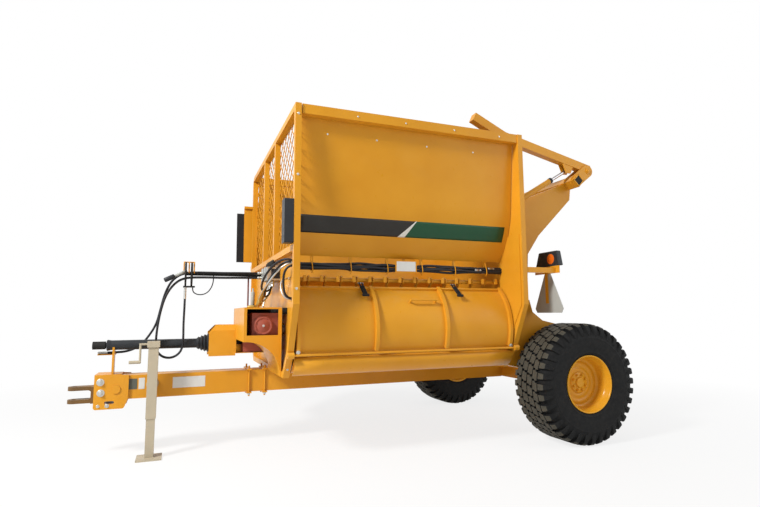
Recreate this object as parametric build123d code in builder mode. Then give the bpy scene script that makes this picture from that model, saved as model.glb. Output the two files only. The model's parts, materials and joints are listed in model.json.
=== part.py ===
import os
from math import atan2, cos, degrees, hypot, radians, sin, tan

from build123d import *

os.makedirs("parts", exist_ok=True)

# Driving dimensions in mm. X points forward to the hitch, Y to the left, Z up from the ground.
tyre_diameter = 1100
tyre_section = 450
rim_seat_diameter = 500
track = 2390
front_reach = 4375
rear_reach = 640
hopper_front = 2710
hopper_rear = 530
hopper_height = 2890
hopper_half_width = 1250
beam_width = 200
beam_height = 200
beam_bottom = 485
beam_wall = 10
axle_tube = 120
frame_depth = 50
sheet = 8
rotor_y = 620
rotor_z = 1070
rotor_tip_radius = 350
rotor_tube_radius = 100
roller_y = -260
roller_z = 1430
roller_radius = 90
roller_shaft = 25
running_fit = 0.05
moving_gap = 12

# Places that follow from them.
axle_x = (rear_reach - front_reach) / 2
axle_z = tyre_diameter / 2
front_x = axle_x + hopper_front
rear_x = axle_x + hopper_rear
inner_front_x = front_x - frame_depth
inner_rear_x = rear_x + frame_depth
wall_front_x = inner_front_x - sheet
wall_rear_x = inner_rear_x + sheet
wall_length = wall_front_x - wall_rear_x
beam_top = beam_bottom + beam_height
beam_side = beam_width / 2
SIDES = (("left", 1), ("right", -1))


def cross_plane(x):
    # A plane across the machine, drawn in Y and Z, that extrudes forward.
    return Plane(origin=(x, 0, 0), x_dir=(0, 1, 0), z_dir=(1, 0, 0))


def side_plane(y):
    # A plane along the machine, drawn in X and Z, that extrudes to the left.
    return Plane(origin=(0, y, 0), x_dir=(-1, 0, 0), z_dir=(0, 1, 0))


def level_plane(z):
    return Plane(origin=(0, 0, z), x_dir=(1, 0, 0), z_dir=(0, 0, 1))


def on_side(points):
    # Points as distance ahead of the axle and height, turned to the side plane's own axes.
    return [(-(axle_x + x), z) for x, z in points]


def along_x(x, y, z):
    return Location((x, y, z), (0, 90, 0))


def along_y(x, y, z):
    return Location((x, y, z), (90, 0, 0))


def save(builder, name):
    builder.part.label = name
    export_step(builder.part, f"parts/{name}.step")


# Drawbar: one long box beam from the axle to the hitch.
nose_ahead = front_reach - 210
head_back = nose_ahead - 265
nose_x = axle_x + nose_ahead
drawbar_front_x = nose_x - 205
drawbar_rear_x = axle_x + axle_tube / 2
with BuildPart() as drawbar:
    with BuildSketch(cross_plane(drawbar_rear_x)):
        with Locations((0, beam_bottom + beam_height / 2)):
            Rectangle(beam_width, beam_height)
            Rectangle(beam_width - 2 * beam_wall, beam_height - 2 * beam_wall, mode=Mode.SUBTRACT)
    extrude(amount=drawbar_front_x - drawbar_rear_x)
save(drawbar, "drawbar")

# Hitch head: two cheeks outside the beam and a nose block between them.
cheek = 20
with BuildPart() as hitch_head:
    for y in (beam_side, -beam_side - cheek):
        with BuildSketch(side_plane(y)):
            with BuildLine():
                Polyline(on_side([(head_back, 500), (head_back, 690), (nose_ahead - 125, 700),
                                  (nose_ahead, 700), (nose_ahead, 410), (head_back + 30, 410)]), close=True)
            make_face()
        extrude(amount=cheek)
    with BuildSketch(cross_plane(drawbar_front_x)):
        with Locations((0, 555)):
            Rectangle(beam_width, 290)
    extrude(amount=nose_x - drawbar_front_x)
    fillet(hitch_head.edges().filter_by(Axis.Y).group_by(Axis.Z)[0], 22)
    for y in (beam_side + cheek, -beam_side - cheek - 8):
        with BuildSketch(side_plane(y)):
            with Locations(on_side([(nose_ahead - 167, 574)])[0]):
                Circle(36)
        extrude(amount=8)
    with BuildSketch(side_plane(-beam_side - cheek)):
        with Locations(on_side([(nose_ahead - 120, 465)])[0]):
            SlotOverall(76, 24)
    extrude(amount=beam_width + 2 * cheek, mode=Mode.SUBTRACT)
save(hitch_head, "hitch_head")

# Hitch clevis: a base plate and two ears with a vertical pin hole.
pin_radius = 17
ear_thickness = 32
ear_gap = 76
ear_width = 100
clevis_z = 531
pin_x = axle_x + front_reach - ear_width / 2
with BuildPart() as hitch_clevis:
    with BuildSketch(cross_plane(nose_x)):
        with Locations((0, clevis_z)):
            Rectangle(170, 2 * ear_thickness + ear_gap)
    extrude(amount=26)
    for z in (clevis_z - ear_gap / 2 - ear_thickness, clevis_z + ear_gap / 2):
        with BuildSketch(level_plane(z)):
            with Locations(((nose_x + pin_x) / 2, 0)):
                Rectangle(pin_x - nose_x, ear_width)
            with Locations((pin_x, 0)):
                Circle(ear_width / 2)
                Circle(pin_radius, mode=Mode.SUBTRACT)
        extrude(amount=ear_thickness)
    mouth = ear_gap / 2 + 1
    across = hitch_clevis.edges().filter_by(Axis.Y).filter_by_position(Axis.X, nose_x + 25, nose_x + 27)
    fillet(across.filter_by_position(Axis.Z, clevis_z - mouth, clevis_z + mouth), 28)
save(hitch_clevis, "hitch_clevis")

# Parking jack on the left cheek of the drawbar, foot on the ground.
jack_x = nose_x - 456
jack_tube_size = 80
jack_wall = 5
jack_slip = 0.4
jack_stub = 90
jack_y = beam_side + jack_stub + jack_tube_size / 2
jack_bottom = 330
jack_top = 930
leg_size = jack_tube_size - 2 * jack_wall - 2 * jack_slip
leg_top = 640
foot_thickness = 14
with BuildPart() as jack_tube:
    with BuildSketch(level_plane(jack_bottom)):
        with Locations((jack_x, jack_y)):
            Rectangle(jack_tube_size, jack_tube_size)
            Rectangle(jack_tube_size - 2 * jack_wall, jack_tube_size - 2 * jack_wall, mode=Mode.SUBTRACT)
    extrude(amount=jack_top - jack_bottom)
    with BuildSketch(level_plane(jack_top)):
        with Locations((jack_x, jack_y)):
            Rectangle(jack_tube_size + 20, jack_tube_size + 20)
    extrude(amount=50)
    with BuildSketch(side_plane(beam_side)):
        with Locations((-jack_x, 610)):
            Circle(48)
            Circle(36, mode=Mode.SUBTRACT)
    extrude(amount=jack_stub)
    crank_x = jack_x + jack_tube_size / 2 + 10
    with Locations(along_x(crank_x + 30, jack_y, jack_top + 25)):
        Cylinder(9, 60)
    with Locations((crank_x + 55, jack_y, jack_top - 50)):
        Cylinder(9, 168)
    with Locations(along_x(crank_x + 95, jack_y, jack_top - 125)):
        Cylinder(14, 90)
save(jack_tube, "jack_tube")
with BuildPart() as jack_leg:
    with BuildSketch(level_plane(foot_thickness)):
        with Locations((jack_x, jack_y)):
            Rectangle(leg_size, leg_size)
    extrude(amount=leg_top - foot_thickness)
    with BuildSketch(level_plane(0)):
        with Locations((jack_x, jack_y)):
            Rectangle(200, 200)
    extrude(amount=foot_thickness)
save(jack_leg, "jack_leg")

# Axle: a square tube with round spindles.
spindle_radius = 40
axle_half = 930
wheel_y = track / 2
spindle_end = wheel_y + 40
with BuildPart() as axle:
    with BuildSketch(side_plane(-axle_half)):
        with Locations((-axle_x, axle_z)):
            Rectangle(axle_tube, axle_tube)
    extrude(amount=2 * axle_half)
    with BuildSketch(side_plane(-spindle_end)):
        with Locations((-axle_x, axle_z)):
            Circle(spindle_radius)
    extrude(amount=2 * spindle_end)
save(axle, "axle")

# Wheels: rim with hub, and tyre, both turned about the axle.
rim_seat = rim_seat_diameter / 2
rim_half = 205
rim_lip = 12
rim_lip_radius = rim_seat + 10.5
barrel = 10
hub_radius = 95
disc_at = 40
disc = 12
tyre_half = tyre_section / 2
bead = rim_half - rim_lip
lug_count = 36
lug_width = 58
lug_rise = 22
outer = tyre_diameter / 2
crown = outer - lug_rise
# Columns: radius and distance from the tyre's middle.
tyre_sections = [(rim_lip_radius + 1, -bead), (390, -tyre_half), (crown, -tyre_half + 66),
                 (crown, tyre_half - 66), (390, tyre_half), (rim_lip_radius + 1, bead)]
lug_outline = [(crown - 14, 92), (outer, 92), (outer, tyre_half - 58), (outer - 72, tyre_half - 10),
               (outer - 88, tyre_half - 45)]


def wheel_plane(side):
    # Drawn as radius and distance outboard of the wheel's middle.
    return Plane(origin=(axle_x, side * wheel_y, axle_z), x_dir=(0, 0, 1), z_dir=(-side, 0, 0))


def lug_plane(side, turn):
    # Drawn as radius and distance across the tyre, at one lug's place round it.
    out = (sin(radians(turn)), 0, cos(radians(turn)))
    return Plane(origin=(axle_x, side * wheel_y, axle_z), x_dir=out, z_dir=(out[2], 0, -out[0]))


for name, side in SIDES:
    hub_axis = Axis((axle_x, side * wheel_y, axle_z), (0, 1, 0))
    bore = spindle_radius + running_fit
    with BuildPart() as rim:
        with BuildSketch(wheel_plane(side)):
            with BuildLine():
                Polyline([(bore, -110), (hub_radius, -110), (hub_radius, disc_at), (rim_seat - barrel, disc_at),
                          (rim_seat - barrel, -rim_half), (rim_lip_radius, -rim_half),
                          (rim_lip_radius, -rim_half + rim_lip), (rim_seat, -rim_half + rim_lip),
                          (rim_seat, rim_half - rim_lip), (rim_lip_radius, rim_half - rim_lip),
                          (rim_lip_radius, rim_half), (rim_seat - barrel, rim_half),
                          (rim_seat - barrel, disc_at + disc), (hub_radius, disc_at + disc),
                          (hub_radius - 15, disc_at + 45), (0, disc_at + 45), (0, disc_at + 15),
                          (bore, disc_at + 15)], close=True)
            make_face()
        revolve(axis=hub_axis)
    save(rim, f"rim_{name}")
    with BuildPart() as tyre:
        for radius, offset in tyre_sections:
            with BuildSketch(side_plane(side * wheel_y + offset)):
                with Locations((-axle_x, axle_z)):
                    RegularPolygon(radius, lug_count, rotation=180 / lug_count)
        loft(ruled=True)
        with BuildSketch(side_plane(side * wheel_y - tyre_half)):
            with Locations((-axle_x, axle_z)):
                Circle(rim_seat)
        extrude(amount=tyre_section, mode=Mode.SUBTRACT)
        with BuildSketch(*[lug_plane(side, index * 360 / lug_count) for index in range(lug_count)]):
            for hand in (1, -1):
                with BuildLine():
                    Polyline([(radius, hand * offset) for radius, offset in lug_outline], close=True)
                make_face()
        extrude(amount=lug_width / 2, both=True)
    save(tyre, f"tyre_{name}")

# End frames of the hopper, drawn across the machine.
post = 50
top_z = hopper_height
shoulder_z = 1280
knee = (1055, 887)
foot_y = 885
end_outline = [(hopper_half_width, top_z), (hopper_half_width, shoulder_z), knee, (foot_y, beam_top),
               (-foot_y, beam_top), (-knee[0], knee[1]), (-hopper_half_width, shoulder_z),
               (-hopper_half_width, top_z)]
inner_half = hopper_half_width - post
sill_z = 1750
bar_y = 320
bar = 50
hinge_y = 1068
hinge_z = 878
hinge_ear = 26
door_pin = 10
flap_y = -hopper_half_width - 40
flap_z = 1770
flap_rod = 12
base = (430, 800)
base_pin = 20
cylinder_y = 700
barrel_radius = 40
lamp_x = axle_x + 200
lamp_y = hopper_half_width - 130
lamp_z = 1600
lamp_width = 350
shaft_radius = 40
with BuildPart() as front_frame:
    with BuildSketch(cross_plane(inner_front_x)) as front_outline:
        with BuildLine():
            Polyline(end_outline, close=True)
        make_face()
        fillet(front_outline.vertices().group_by(Axis.Y)[-1].sort_by(Axis.X)[0], 110)
        with BuildLine():
            Polyline([(inner_half, sill_z - post), (inner_half, shoulder_z), (knee[0] - post, knee[1] + 14),
                      (foot_y - 30, beam_top + post), (-foot_y + 30, beam_top + post),
                      (-knee[0] + post, knee[1] + 14), (-inner_half, shoulder_z), (-inner_half, sill_z - post)],
                     close=True)
        make_face(mode=Mode.SUBTRACT)
        for low, high in ((-inner_half, -bar_y - bar / 2), (-bar_y + bar / 2, bar_y - bar / 2),
                          (bar_y + bar / 2, inner_half)):
            with Locations(((low + high) / 2, (sill_z + top_z - post) / 2)):
                Rectangle(high - low, top_z - post - sill_z, mode=Mode.SUBTRACT)
        with Locations((hinge_y, hinge_z)):
            Circle(hinge_ear)
            Circle(door_pin + running_fit, mode=Mode.SUBTRACT)
        with BuildLine():
            Polyline([(-hopper_half_width, flap_z - 60), (-hopper_half_width, flap_z + 40),
                      (flap_y - 26, flap_z + 20), (flap_y - 26, flap_z - 30)], close=True)
        make_face()
        with Locations((flap_y, flap_z)):
            Circle(flap_rod + running_fit, mode=Mode.SUBTRACT)
    extrude(amount=frame_depth)
save(front_frame, "front_frame")

panel_hole = 60
bearing_size = 170
with BuildPart() as front_panel:
    with BuildSketch(cross_plane(wall_front_x)):
        with BuildLine():
            Polyline([(inner_half + 20, sill_z - 20), (inner_half + 20, shoulder_z), (knee[0] - 80, knee[1]),
                      (foot_y - 60, beam_top + 20), (-foot_y + 60, beam_top + 20),
                      (-knee[0] + 80, knee[1]), (-inner_half - 20, shoulder_z), (-inner_half - 20, sill_z - 20)],
                     close=True)
        make_face()
        with Locations((rotor_y, rotor_z)):
            Circle(panel_hole, mode=Mode.SUBTRACT)
        with Locations((roller_y, roller_z)):
            Circle(roller_shaft + running_fit, mode=Mode.SUBTRACT)
    extrude(amount=sheet)
save(front_panel, "front_panel")

mesh_pitch = 120
mesh_strand = 14
mesh_rows = int((top_z - post - sill_z) / (1.5 * mesh_pitch))
with BuildPart() as front_screen:
    with BuildSketch(cross_plane(wall_front_x)):
        with Locations((0, (sill_z + top_z - post) / 2)):
            Rectangle(2 * inner_half + 30, top_z - post - sill_z + 30)
        for low, high in ((-inner_half, -bar_y - bar / 2), (-bar_y + bar / 2, bar_y - bar / 2),
                          (bar_y + bar / 2, inner_half)):
            count = int((high - low) / mesh_pitch)
            with Locations(((low + high) / 2, (sill_z + top_z - post) / 2)):
                with GridLocations(mesh_pitch, mesh_pitch * 1.5, count, mesh_rows):
                    Polygon((mesh_pitch / 2 - mesh_strand, 0), (0, mesh_pitch * 0.75 - mesh_strand),
                            (-mesh_pitch / 2 + mesh_strand, 0), (0, -mesh_pitch * 0.75 + mesh_strand),
                            mode=Mode.SUBTRACT)
                with GridLocations(mesh_pitch, mesh_pitch * 1.5, count - 1, mesh_rows - 1):
                    Polygon((mesh_pitch / 2 - mesh_strand, 0), (0, mesh_pitch * 0.75 - mesh_strand),
                            (-mesh_pitch / 2 + mesh_strand, 0), (0, -mesh_pitch * 0.75 + mesh_strand),
                            mode=Mode.SUBTRACT)
    extrude(amount=sheet)
save(front_screen, "front_screen")

# Rear frame: the same outline with an open throat for the bale, closed by a sheet below it.
throat_half = hopper_half_width - 210
throat_sill = 1950
with BuildPart() as rear_frame:
    with BuildSketch(cross_plane(rear_x)):
        with BuildLine():
            Polyline(end_outline, close=True)
        make_face()
        with BuildLine():
            Polyline([(throat_half, throat_sill - post), (inner_half, throat_sill - post), (inner_half, shoulder_z),
                      (knee[0] - post, knee[1] + 14), (foot_y - 30, beam_top + post),
                      (-foot_y + 30, beam_top + post), (-knee[0] + post, knee[1] + 14), (-inner_half, shoulder_z),
                      (-inner_half, throat_sill - post), (-throat_half, throat_sill - post)], close=True)
        make_face(mode=Mode.SUBTRACT)
        with BuildLine():
            Polyline([(throat_half + 80, top_z), (throat_half, throat_sill), (-throat_half, throat_sill),
                      (-throat_half - 80, top_z)], close=True)
        make_face(mode=Mode.SUBTRACT)
        with Locations((hinge_y, hinge_z)):
            Circle(hinge_ear)
            Circle(door_pin + running_fit, mode=Mode.SUBTRACT)
        with BuildLine():
            Polyline([(-hopper_half_width, flap_z - 60), (-hopper_half_width, flap_z + 40),
                      (flap_y - 26, flap_z + 20), (flap_y - 26, flap_z - 30)], close=True)
        make_face()
        with Locations((flap_y, flap_z)):
            Circle(flap_rod + running_fit, mode=Mode.SUBTRACT)
    extrude(amount=frame_depth)
    for side in (1, -1):
        for offset in (-1, 1):
            y = side * cylinder_y + offset * (barrel_radius + moving_gap)
            with BuildSketch(side_plane(y - 6)):
                with BuildLine():
                    Polyline(on_side([(hopper_rear + frame_depth, 715), (hopper_rear + frame_depth, 890),
                                      (base[0], base[1] + 45), (base[0] - 45, base[1]),
                                      (base[0], base[1] - 45)]), close=True)
                make_face()
            extrude(amount=12)
        with Locations(along_y(axle_x + base[0], side * cylinder_y, base[1])):
            Cylinder(base_pin, 2 * (barrel_radius + moving_gap))
        with BuildSketch(cross_plane(lamp_x)):
            with Locations((side * (hopper_half_width - 25), lamp_z)):
                Rectangle(40, 50)
        extrude(amount=rear_x - lamp_x)
        with BuildSketch(cross_plane(lamp_x - 6)):
            with Locations((side * lamp_y, lamp_z + 10)):
                Rectangle(lamp_width, 70)
        extrude(amount=6)
save(rear_frame, "rear_frame")
with BuildPart() as rear_panel:
    with BuildSketch(cross_plane(inner_rear_x)):
        with BuildLine():
            Polyline([(inner_half + 20, throat_sill - 20), (inner_half + 20, shoulder_z), (knee[0] - 80, knee[1]),
                      (foot_y - 60, beam_top + 20), (-foot_y + 60, beam_top + 20),
                      (-knee[0] + 80, knee[1]), (-inner_half - 20, shoulder_z),
                      (-inner_half - 20, throat_sill - 20)], close=True)
        make_face()
        with Locations((rotor_y, rotor_z)):
            Circle(panel_hole, mode=Mode.SUBTRACT)
        with Locations((roller_y, roller_z)):
            Circle(roller_shaft + running_fit, mode=Mode.SUBTRACT)
    extrude(amount=sheet)
    with BuildSketch(cross_plane(rear_x - 10)):
        with Locations((rotor_y, rotor_z)):
            RectangleRounded(bearing_size, bearing_size, 30)
            Circle(shaft_radius + running_fit, mode=Mode.SUBTRACT)
    extrude(amount=inner_rear_x - rear_x + 10)
save(rear_panel, "rear_panel")

# Hopper walls: straight, then curving in; the right one runs on into the bale floor.
rail_height = 80
rail_width = 90
rail_y = hopper_half_width - 10
seat_gap = 0.5
wall_top = (hopper_half_width - 85, top_z - rail_height - seat_gap)
wall_bend = (hopper_half_width - 145, 2177)
wall_foot = (890, 1700)
wall_sheet = 6
floor_bend = (780, 1569)
floor_end = (-170, 1130)
with BuildPart() as top_rails:
    for name, side in SIDES:
        with BuildSketch(cross_plane(inner_rear_x)):
            with Locations((side * (rail_y - rail_width / 2), top_z - rail_height / 2)):
                Rectangle(rail_width, rail_height)
        extrude(amount=wall_front_x - inner_rear_x)
save(top_rails, "top_rails")
strap_y = 893
strap = 6
strap_low = 1570
strap_width = 26
strap_count = 6
plate_x = axle_x + 1625
plate_width = 210
plate_z = 1624
plate_y = 948
for name, side in SIDES:
    with BuildPart() as wall:
        with BuildSketch(cross_plane(wall_rear_x)):
            with BuildLine() as wall_line:
                straight = Line((side * wall_top[0], wall_top[1]), (side * wall_bend[0], wall_bend[1]))
                curve = TangentArc(straight @ 1, (side * wall_foot[0], wall_foot[1]), tangent=straight % 1)
            wall_end_tangent = curve % 1
            trace(line_width=wall_sheet)
        extrude(amount=wall_length)
        if side > 0:
            for index in range(strap_count):
                strap_x = wall_rear_x + (index + 0.5) * wall_length / strap_count
                with Locations((strap_x, strap_y - strap / 2, (strap_low + wall_foot[1] + 14) / 2)):
                    Box(strap_width, strap, wall_foot[1] + 14 - strap_low)
            with Locations((plate_x, (strap_y - strap + plate_y) / 2, plate_z + 40)):
                Box(strap_width, plate_y - strap_y + strap, 5)
            with Locations((plate_x, strap_y - strap / 2, plate_z + 60)):
                Box(strap_width, strap, 80)
            with Locations((plate_x, plate_y + 2, plate_z)):
                Box(plate_width, 4, 105)
    save(wall, f"wall_{name}")
with BuildPart() as bale_floor:
    with BuildSketch(cross_plane(wall_rear_x)):
        with BuildLine():
            slope = Line((-wall_foot[0], wall_foot[1]),
                         Vector(-wall_foot[0], wall_foot[1])
                         + Vector(wall_end_tangent.X, wall_end_tangent.Y) * 160)
            TangentArc(slope @ 1, (-floor_end[0], floor_end[1]), tangent=slope % 1)
        trace(line_width=wall_sheet)
    extrude(amount=wall_length)
save(bale_floor, "bale_floor")

# Rotor pan: under the rotor and up to the right as the discharge chute.
pan_lip = (1040, 843)
pan_corner = (925, 735)
pan_low = (640, 700)
pan_turn = (150, 770)
pan_exit = (-1190, 1250)
with BuildPart() as rotor_pan:
    with BuildSketch(cross_plane(wall_rear_x)):
        with BuildLine():
            FilletPolyline(pan_lip, pan_corner, pan_low, pan_turn, pan_exit, radius=90)
        trace(line_width=wall_sheet)
    extrude(amount=wall_length)
save(rotor_pan, "rotor_pan")

# Rotor: tube, shaft ends and flails between the hoops.
flail_rows = 14
flail_pitch = (wall_length - 160) / (flail_rows - 1)
flail_start = wall_rear_x + 80
flail_width = 60
flail_thickness = 30
rotor_length = wall_length - 2 * moving_gap
with BuildPart() as rotor:
    with BuildSketch(cross_plane(wall_rear_x + moving_gap)):
        with Locations((rotor_y, rotor_z)):
            Circle(rotor_tube_radius)
    extrude(amount=rotor_length)
    with BuildSketch(cross_plane(rear_x - 60)):
        with Locations((rotor_y, rotor_z)):
            Circle(shaft_radius)
    extrude(amount=front_x + 40 - rear_x + 60)
    for index in range(flail_rows):
        for turn in (0, 180):
            with BuildSketch(cross_plane(flail_start + index * flail_pitch - flail_thickness / 2)):
                with Locations(Location((rotor_y, rotor_z), index * 77 + turn)):
                    with Locations((rotor_tip_radius / 2, 0)):
                        Rectangle(rotor_tip_radius, flail_width)
            extrude(amount=flail_thickness)
save(rotor, "rotor")

# Slug bars: hoops over the rotor, hung from one shaft under the left wall.
hoop_outer = 325
hoop_width = 36
hoop_thickness = 12
hoop_shaft = (850, 1500)
hoop_shaft_radius = 18
hoop_from = 58
hoop_to = 150
with BuildPart() as slug_bars:
    with BuildSketch(cross_plane(wall_rear_x)):
        with Locations(hoop_shaft):
            Circle(hoop_shaft_radius)
    extrude(amount=wall_length)
    reach = hypot(hoop_shaft[0] - rotor_y, hoop_shaft[1] - rotor_z)
    lean = degrees(atan2(hoop_shaft[1] - rotor_z, hoop_shaft[0] - rotor_y))
    for index in range(flail_rows - 1):
        hoop_x = flail_start + (index + 0.5) * flail_pitch - hoop_thickness / 2
        with BuildSketch(cross_plane(hoop_x)):
            with BuildLine():
                mid = hoop_outer - hoop_width / 2
                CenterArc((rotor_y, rotor_z), mid, lean, hoop_to - lean)
            trace(line_width=hoop_width)
            with Locations(Location((rotor_y, rotor_z), lean)):
                with Locations(((mid + reach) / 2, 0)):
                    Rectangle(reach - mid + hoop_width, hoop_width)
            with Locations(hoop_shaft):
                Circle(hoop_shaft_radius + 14)
        extrude(amount=hoop_thickness)
save(slug_bars, "slug_bars")

# Feed roller with paddles over the bale floor.
paddle = 45
with BuildPart() as feed_roller:
    with BuildSketch(cross_plane(wall_rear_x + moving_gap)):
        with Locations((roller_y, roller_z)):
            Circle(roller_radius)
            with PolarLocations(0, 6):
                with Locations((roller_radius + paddle / 2, 0)):
                    Rectangle(paddle + 20, 12)
    extrude(amount=rotor_length)
    with BuildSketch(cross_plane(rear_x)):
        with Locations((roller_y, roller_z)):
            Circle(roller_shaft)
    extrude(amount=front_x - rear_x)
save(feed_roller, "feed_roller")

# Drum cover: a curved door on the left, hinged along its lower edge.
door_radius = 446
door_sheet = 5
door_top = 52
door_bottom = -27
door_rear_x = wall_rear_x + moving_gap
door_length = wall_length - 2 * moving_gap
rib = 30
rib_bottom = -22
rib_rise = 34
handle_x = axle_x + 1495
handle_length = 260
handle_angle = 31
latch_xs = (axle_x + 2035, axle_x + 1110)
latch_strap = 12
latch_length = 190
flange_top = door_radius + 22
latch_width = 46
with BuildPart() as drum_cover:
    with BuildSketch(cross_plane(door_rear_x)):
        with BuildLine():
            CenterArc((rotor_y, rotor_z), door_radius, door_bottom, door_top - door_bottom)
        trace(line_width=door_sheet)
    extrude(amount=door_length)
    for index in range(4):
        with BuildSketch(cross_plane(door_rear_x + index * (door_length - rib) / 3)):
            with BuildLine():
                CenterArc((rotor_y, rotor_z), door_radius + rib_rise / 2, rib_bottom, door_top - rib_bottom)
            trace(line_width=rib_rise)
        extrude(amount=rib)
    with BuildSketch(cross_plane(door_rear_x)):
        with Locations(Location((rotor_y, rotor_z), door_top)):
            with Locations((flange_top - 14, -10)):
                Rectangle(28, 20)
    extrude(amount=door_length)
    with BuildSketch(cross_plane(handle_x - handle_length / 2)):
        with Locations(Location((rotor_y, rotor_z), handle_angle)):
            with Locations((door_radius + 42, 0)):
                Circle(9)
    extrude(amount=handle_length)
    for x in (handle_x - handle_length / 2, handle_x + handle_length / 2 - 14):
        with BuildSketch(cross_plane(x)):
            with Locations(Location((rotor_y, rotor_z), handle_angle)):
                with Locations((door_radius + 22, 0)):
                    Rectangle(44, 14)
        extrude(amount=14)
    for x in (door_rear_x, door_rear_x + door_length - rib):
        with BuildSketch(cross_plane(x)):
            with BuildLine():
                Polyline([(1015, 876), (hinge_y, hinge_z)])
            trace(line_width=2 * door_pin)
        extrude(amount=rib)
    with BuildSketch(cross_plane(rear_x + 10)):
        with Locations((hinge_y, hinge_z)):
            Circle(door_pin)
    extrude(amount=front_x - rear_x - 20)
save(drum_cover, "drum_cover")

# Rubber latches on the cover: a strap over its upper edge and a cross grip below.
with BuildPart() as cover_latches:
    for x in latch_xs:
        with BuildSketch(cross_plane(x - latch_width / 2)):
            with Locations(Location((rotor_y, rotor_z), door_top)):
                with Locations((flange_top + latch_strap / 2, 50 - latch_length / 2)):
                    Rectangle(latch_strap, latch_length)
                with Locations((flange_top - 10, -50)):
                    Rectangle(20, 30)
        extrude(amount=latch_width)
        with BuildSketch(cross_plane(x - latch_width)):
            with Locations(Location((rotor_y, rotor_z), door_top)):
                with Locations((flange_top + latch_strap / 2 + 2, 50 - latch_length)):
                    Circle(13)
        extrude(amount=2 * latch_width)
save(cover_latches, "cover_latches")

# Drive at the front: gear case, shield, tunnel and the driveline.
pto_y = 60
pto_z = 946
case_depth = 240
cover_x = front_x + 150
with BuildPart() as gearbox:
    with BuildSketch(cross_plane(front_x)):
        with BuildLine():
            Polyline([(-15, 860), (-15, 1030), (430, 1215), (760, 1215), (760, 1000), (190, 1000), (190, 860)],
                     close=True)
        make_face()
        with Locations((rotor_y, rotor_z)):
            Circle(shaft_radius + running_fit, mode=Mode.SUBTRACT)
    extrude(amount=case_depth)
    with BuildSketch(side_plane(760)):
        with Locations((-cover_x, 1110)):
            RegularPolygon(86, 8, rotation=22.5)
    extrude(amount=16)
    with BuildSketch(side_plane(776)):
        with Locations((-cover_x, 1110)):
            RegularPolygon(19, 6)
    extrude(amount=14)
save(gearbox, "gearbox")
shield_front_x = front_x + 310
shield_top = 1262
shield_left = 805
shield_step = 200
shield_right = -25
shield_low = 850
shield_sheet = 5
arch_radius = 290
arch_x = front_x + arch_radius + shield_sheet
arch_z = beam_top + 5
with BuildPart() as gearbox_shield:
    with BuildSketch(side_plane(shield_step - shield_sheet)):
        with BuildLine():
            Polyline([(-front_x, arch_z), (-front_x, shield_top), (-shield_front_x, shield_top),
                      (-shield_front_x, arch_z + arch_radius), (-arch_x, arch_z + arch_radius)])
            CenterArc((-arch_x, arch_z), arch_radius, 90, -90)
            Line((-arch_x + arch_radius, arch_z), (-front_x, arch_z))
        make_face()
    extrude(amount=shield_left - shield_step + shield_sheet)
    with BuildSketch(cross_plane(front_x)):
        with Locations(((shield_right + shield_step) / 2, (shield_low + shield_top) / 2)):
            Rectangle(shield_step - shield_right, shield_top - shield_low)
    extrude(amount=shield_front_x - front_x)
    with BuildSketch(side_plane(shield_step)):
        with BuildLine():
            Polyline([(-front_x, arch_z), (-front_x, shield_top - shield_sheet),
                      (-shield_front_x + shield_sheet, shield_top - shield_sheet),
                      (-shield_front_x + shield_sheet, arch_z + arch_radius + shield_sheet),
                      (-arch_x, arch_z + arch_radius + shield_sheet)])
            CenterArc((-arch_x, arch_z), arch_radius + shield_sheet, 90, -90)
        make_face()
    extrude(amount=shield_left - shield_sheet - shield_step, mode=Mode.SUBTRACT)
    with BuildSketch(cross_plane(front_x)):
        with Locations(((shield_right + shield_step) / 2 + shield_sheet, (shield_low + shield_top) / 2)):
            Rectangle(shield_step - shield_right, shield_top - shield_low - 2 * shield_sheet)
    extrude(amount=shield_front_x - front_x - shield_sheet, mode=Mode.SUBTRACT)
    with BuildSketch(cross_plane(shield_front_x)):
        with Locations((pto_y, pto_z)):
            Circle(85)
    extrude(amount=-2 * shield_sheet, mode=Mode.SUBTRACT)
    with BuildSketch(side_plane(shield_left - 2 * shield_sheet)):
        with Locations((-(front_x + 158), 1140)):
            Rectangle(256, 216)
    extrude(amount=3 * shield_sheet, mode=Mode.SUBTRACT)
save(gearbox_shield, "gearbox_shield")
tunnel_front_x = front_x + 545
tunnel_back_x = shield_front_x
with BuildPart() as pto_tunnel:
    with BuildSketch(cross_plane(tunnel_back_x)):
        with BuildLine():
            Polyline([(pto_y - 130, 830), (pto_y - 130, 1060), (pto_y - 80, 1110), (pto_y + 80, 1110),
                      (pto_y + 130, 1060), (pto_y + 130, 830)])
        trace(line_width=5)
    extrude(amount=tunnel_front_x - tunnel_back_x)
    with BuildSketch(side_plane(pto_y - 140)):
        with BuildLine():
            Polyline([(-tunnel_front_x, 1120), (-tunnel_front_x + 70, 1120), (-tunnel_front_x, 1045)],
                     close=True)
        make_face()
    extrude(amount=280, mode=Mode.SUBTRACT)
save(pto_tunnel, "pto_tunnel")
guard_radius = 42
guard_front_x = nose_x - 110
pto_axis = Axis((0, pto_y, pto_z), (1, 0, 0))
shaft_core = 22
yoke_bore = 17.5
with BuildPart() as pto_shaft:
    with BuildSketch(cross_plane(front_x + case_depth)):
        with Locations((pto_y, pto_z)):
            Circle(shaft_core)
    extrude(amount=guard_front_x + 85 - front_x - case_depth)
    with BuildSketch(cross_plane(guard_front_x + 45)):
        with Locations((pto_y, pto_z)):
            Circle(34)
    extrude(amount=100)
    with BuildSketch(cross_plane(guard_front_x + 145)):
        with Locations((pto_y, pto_z)):
            Circle(yoke_bore)
    extrude(amount=-80, mode=Mode.SUBTRACT)
save(pto_shaft, "pto_shaft")
bellows_x = tunnel_front_x - 10
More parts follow.
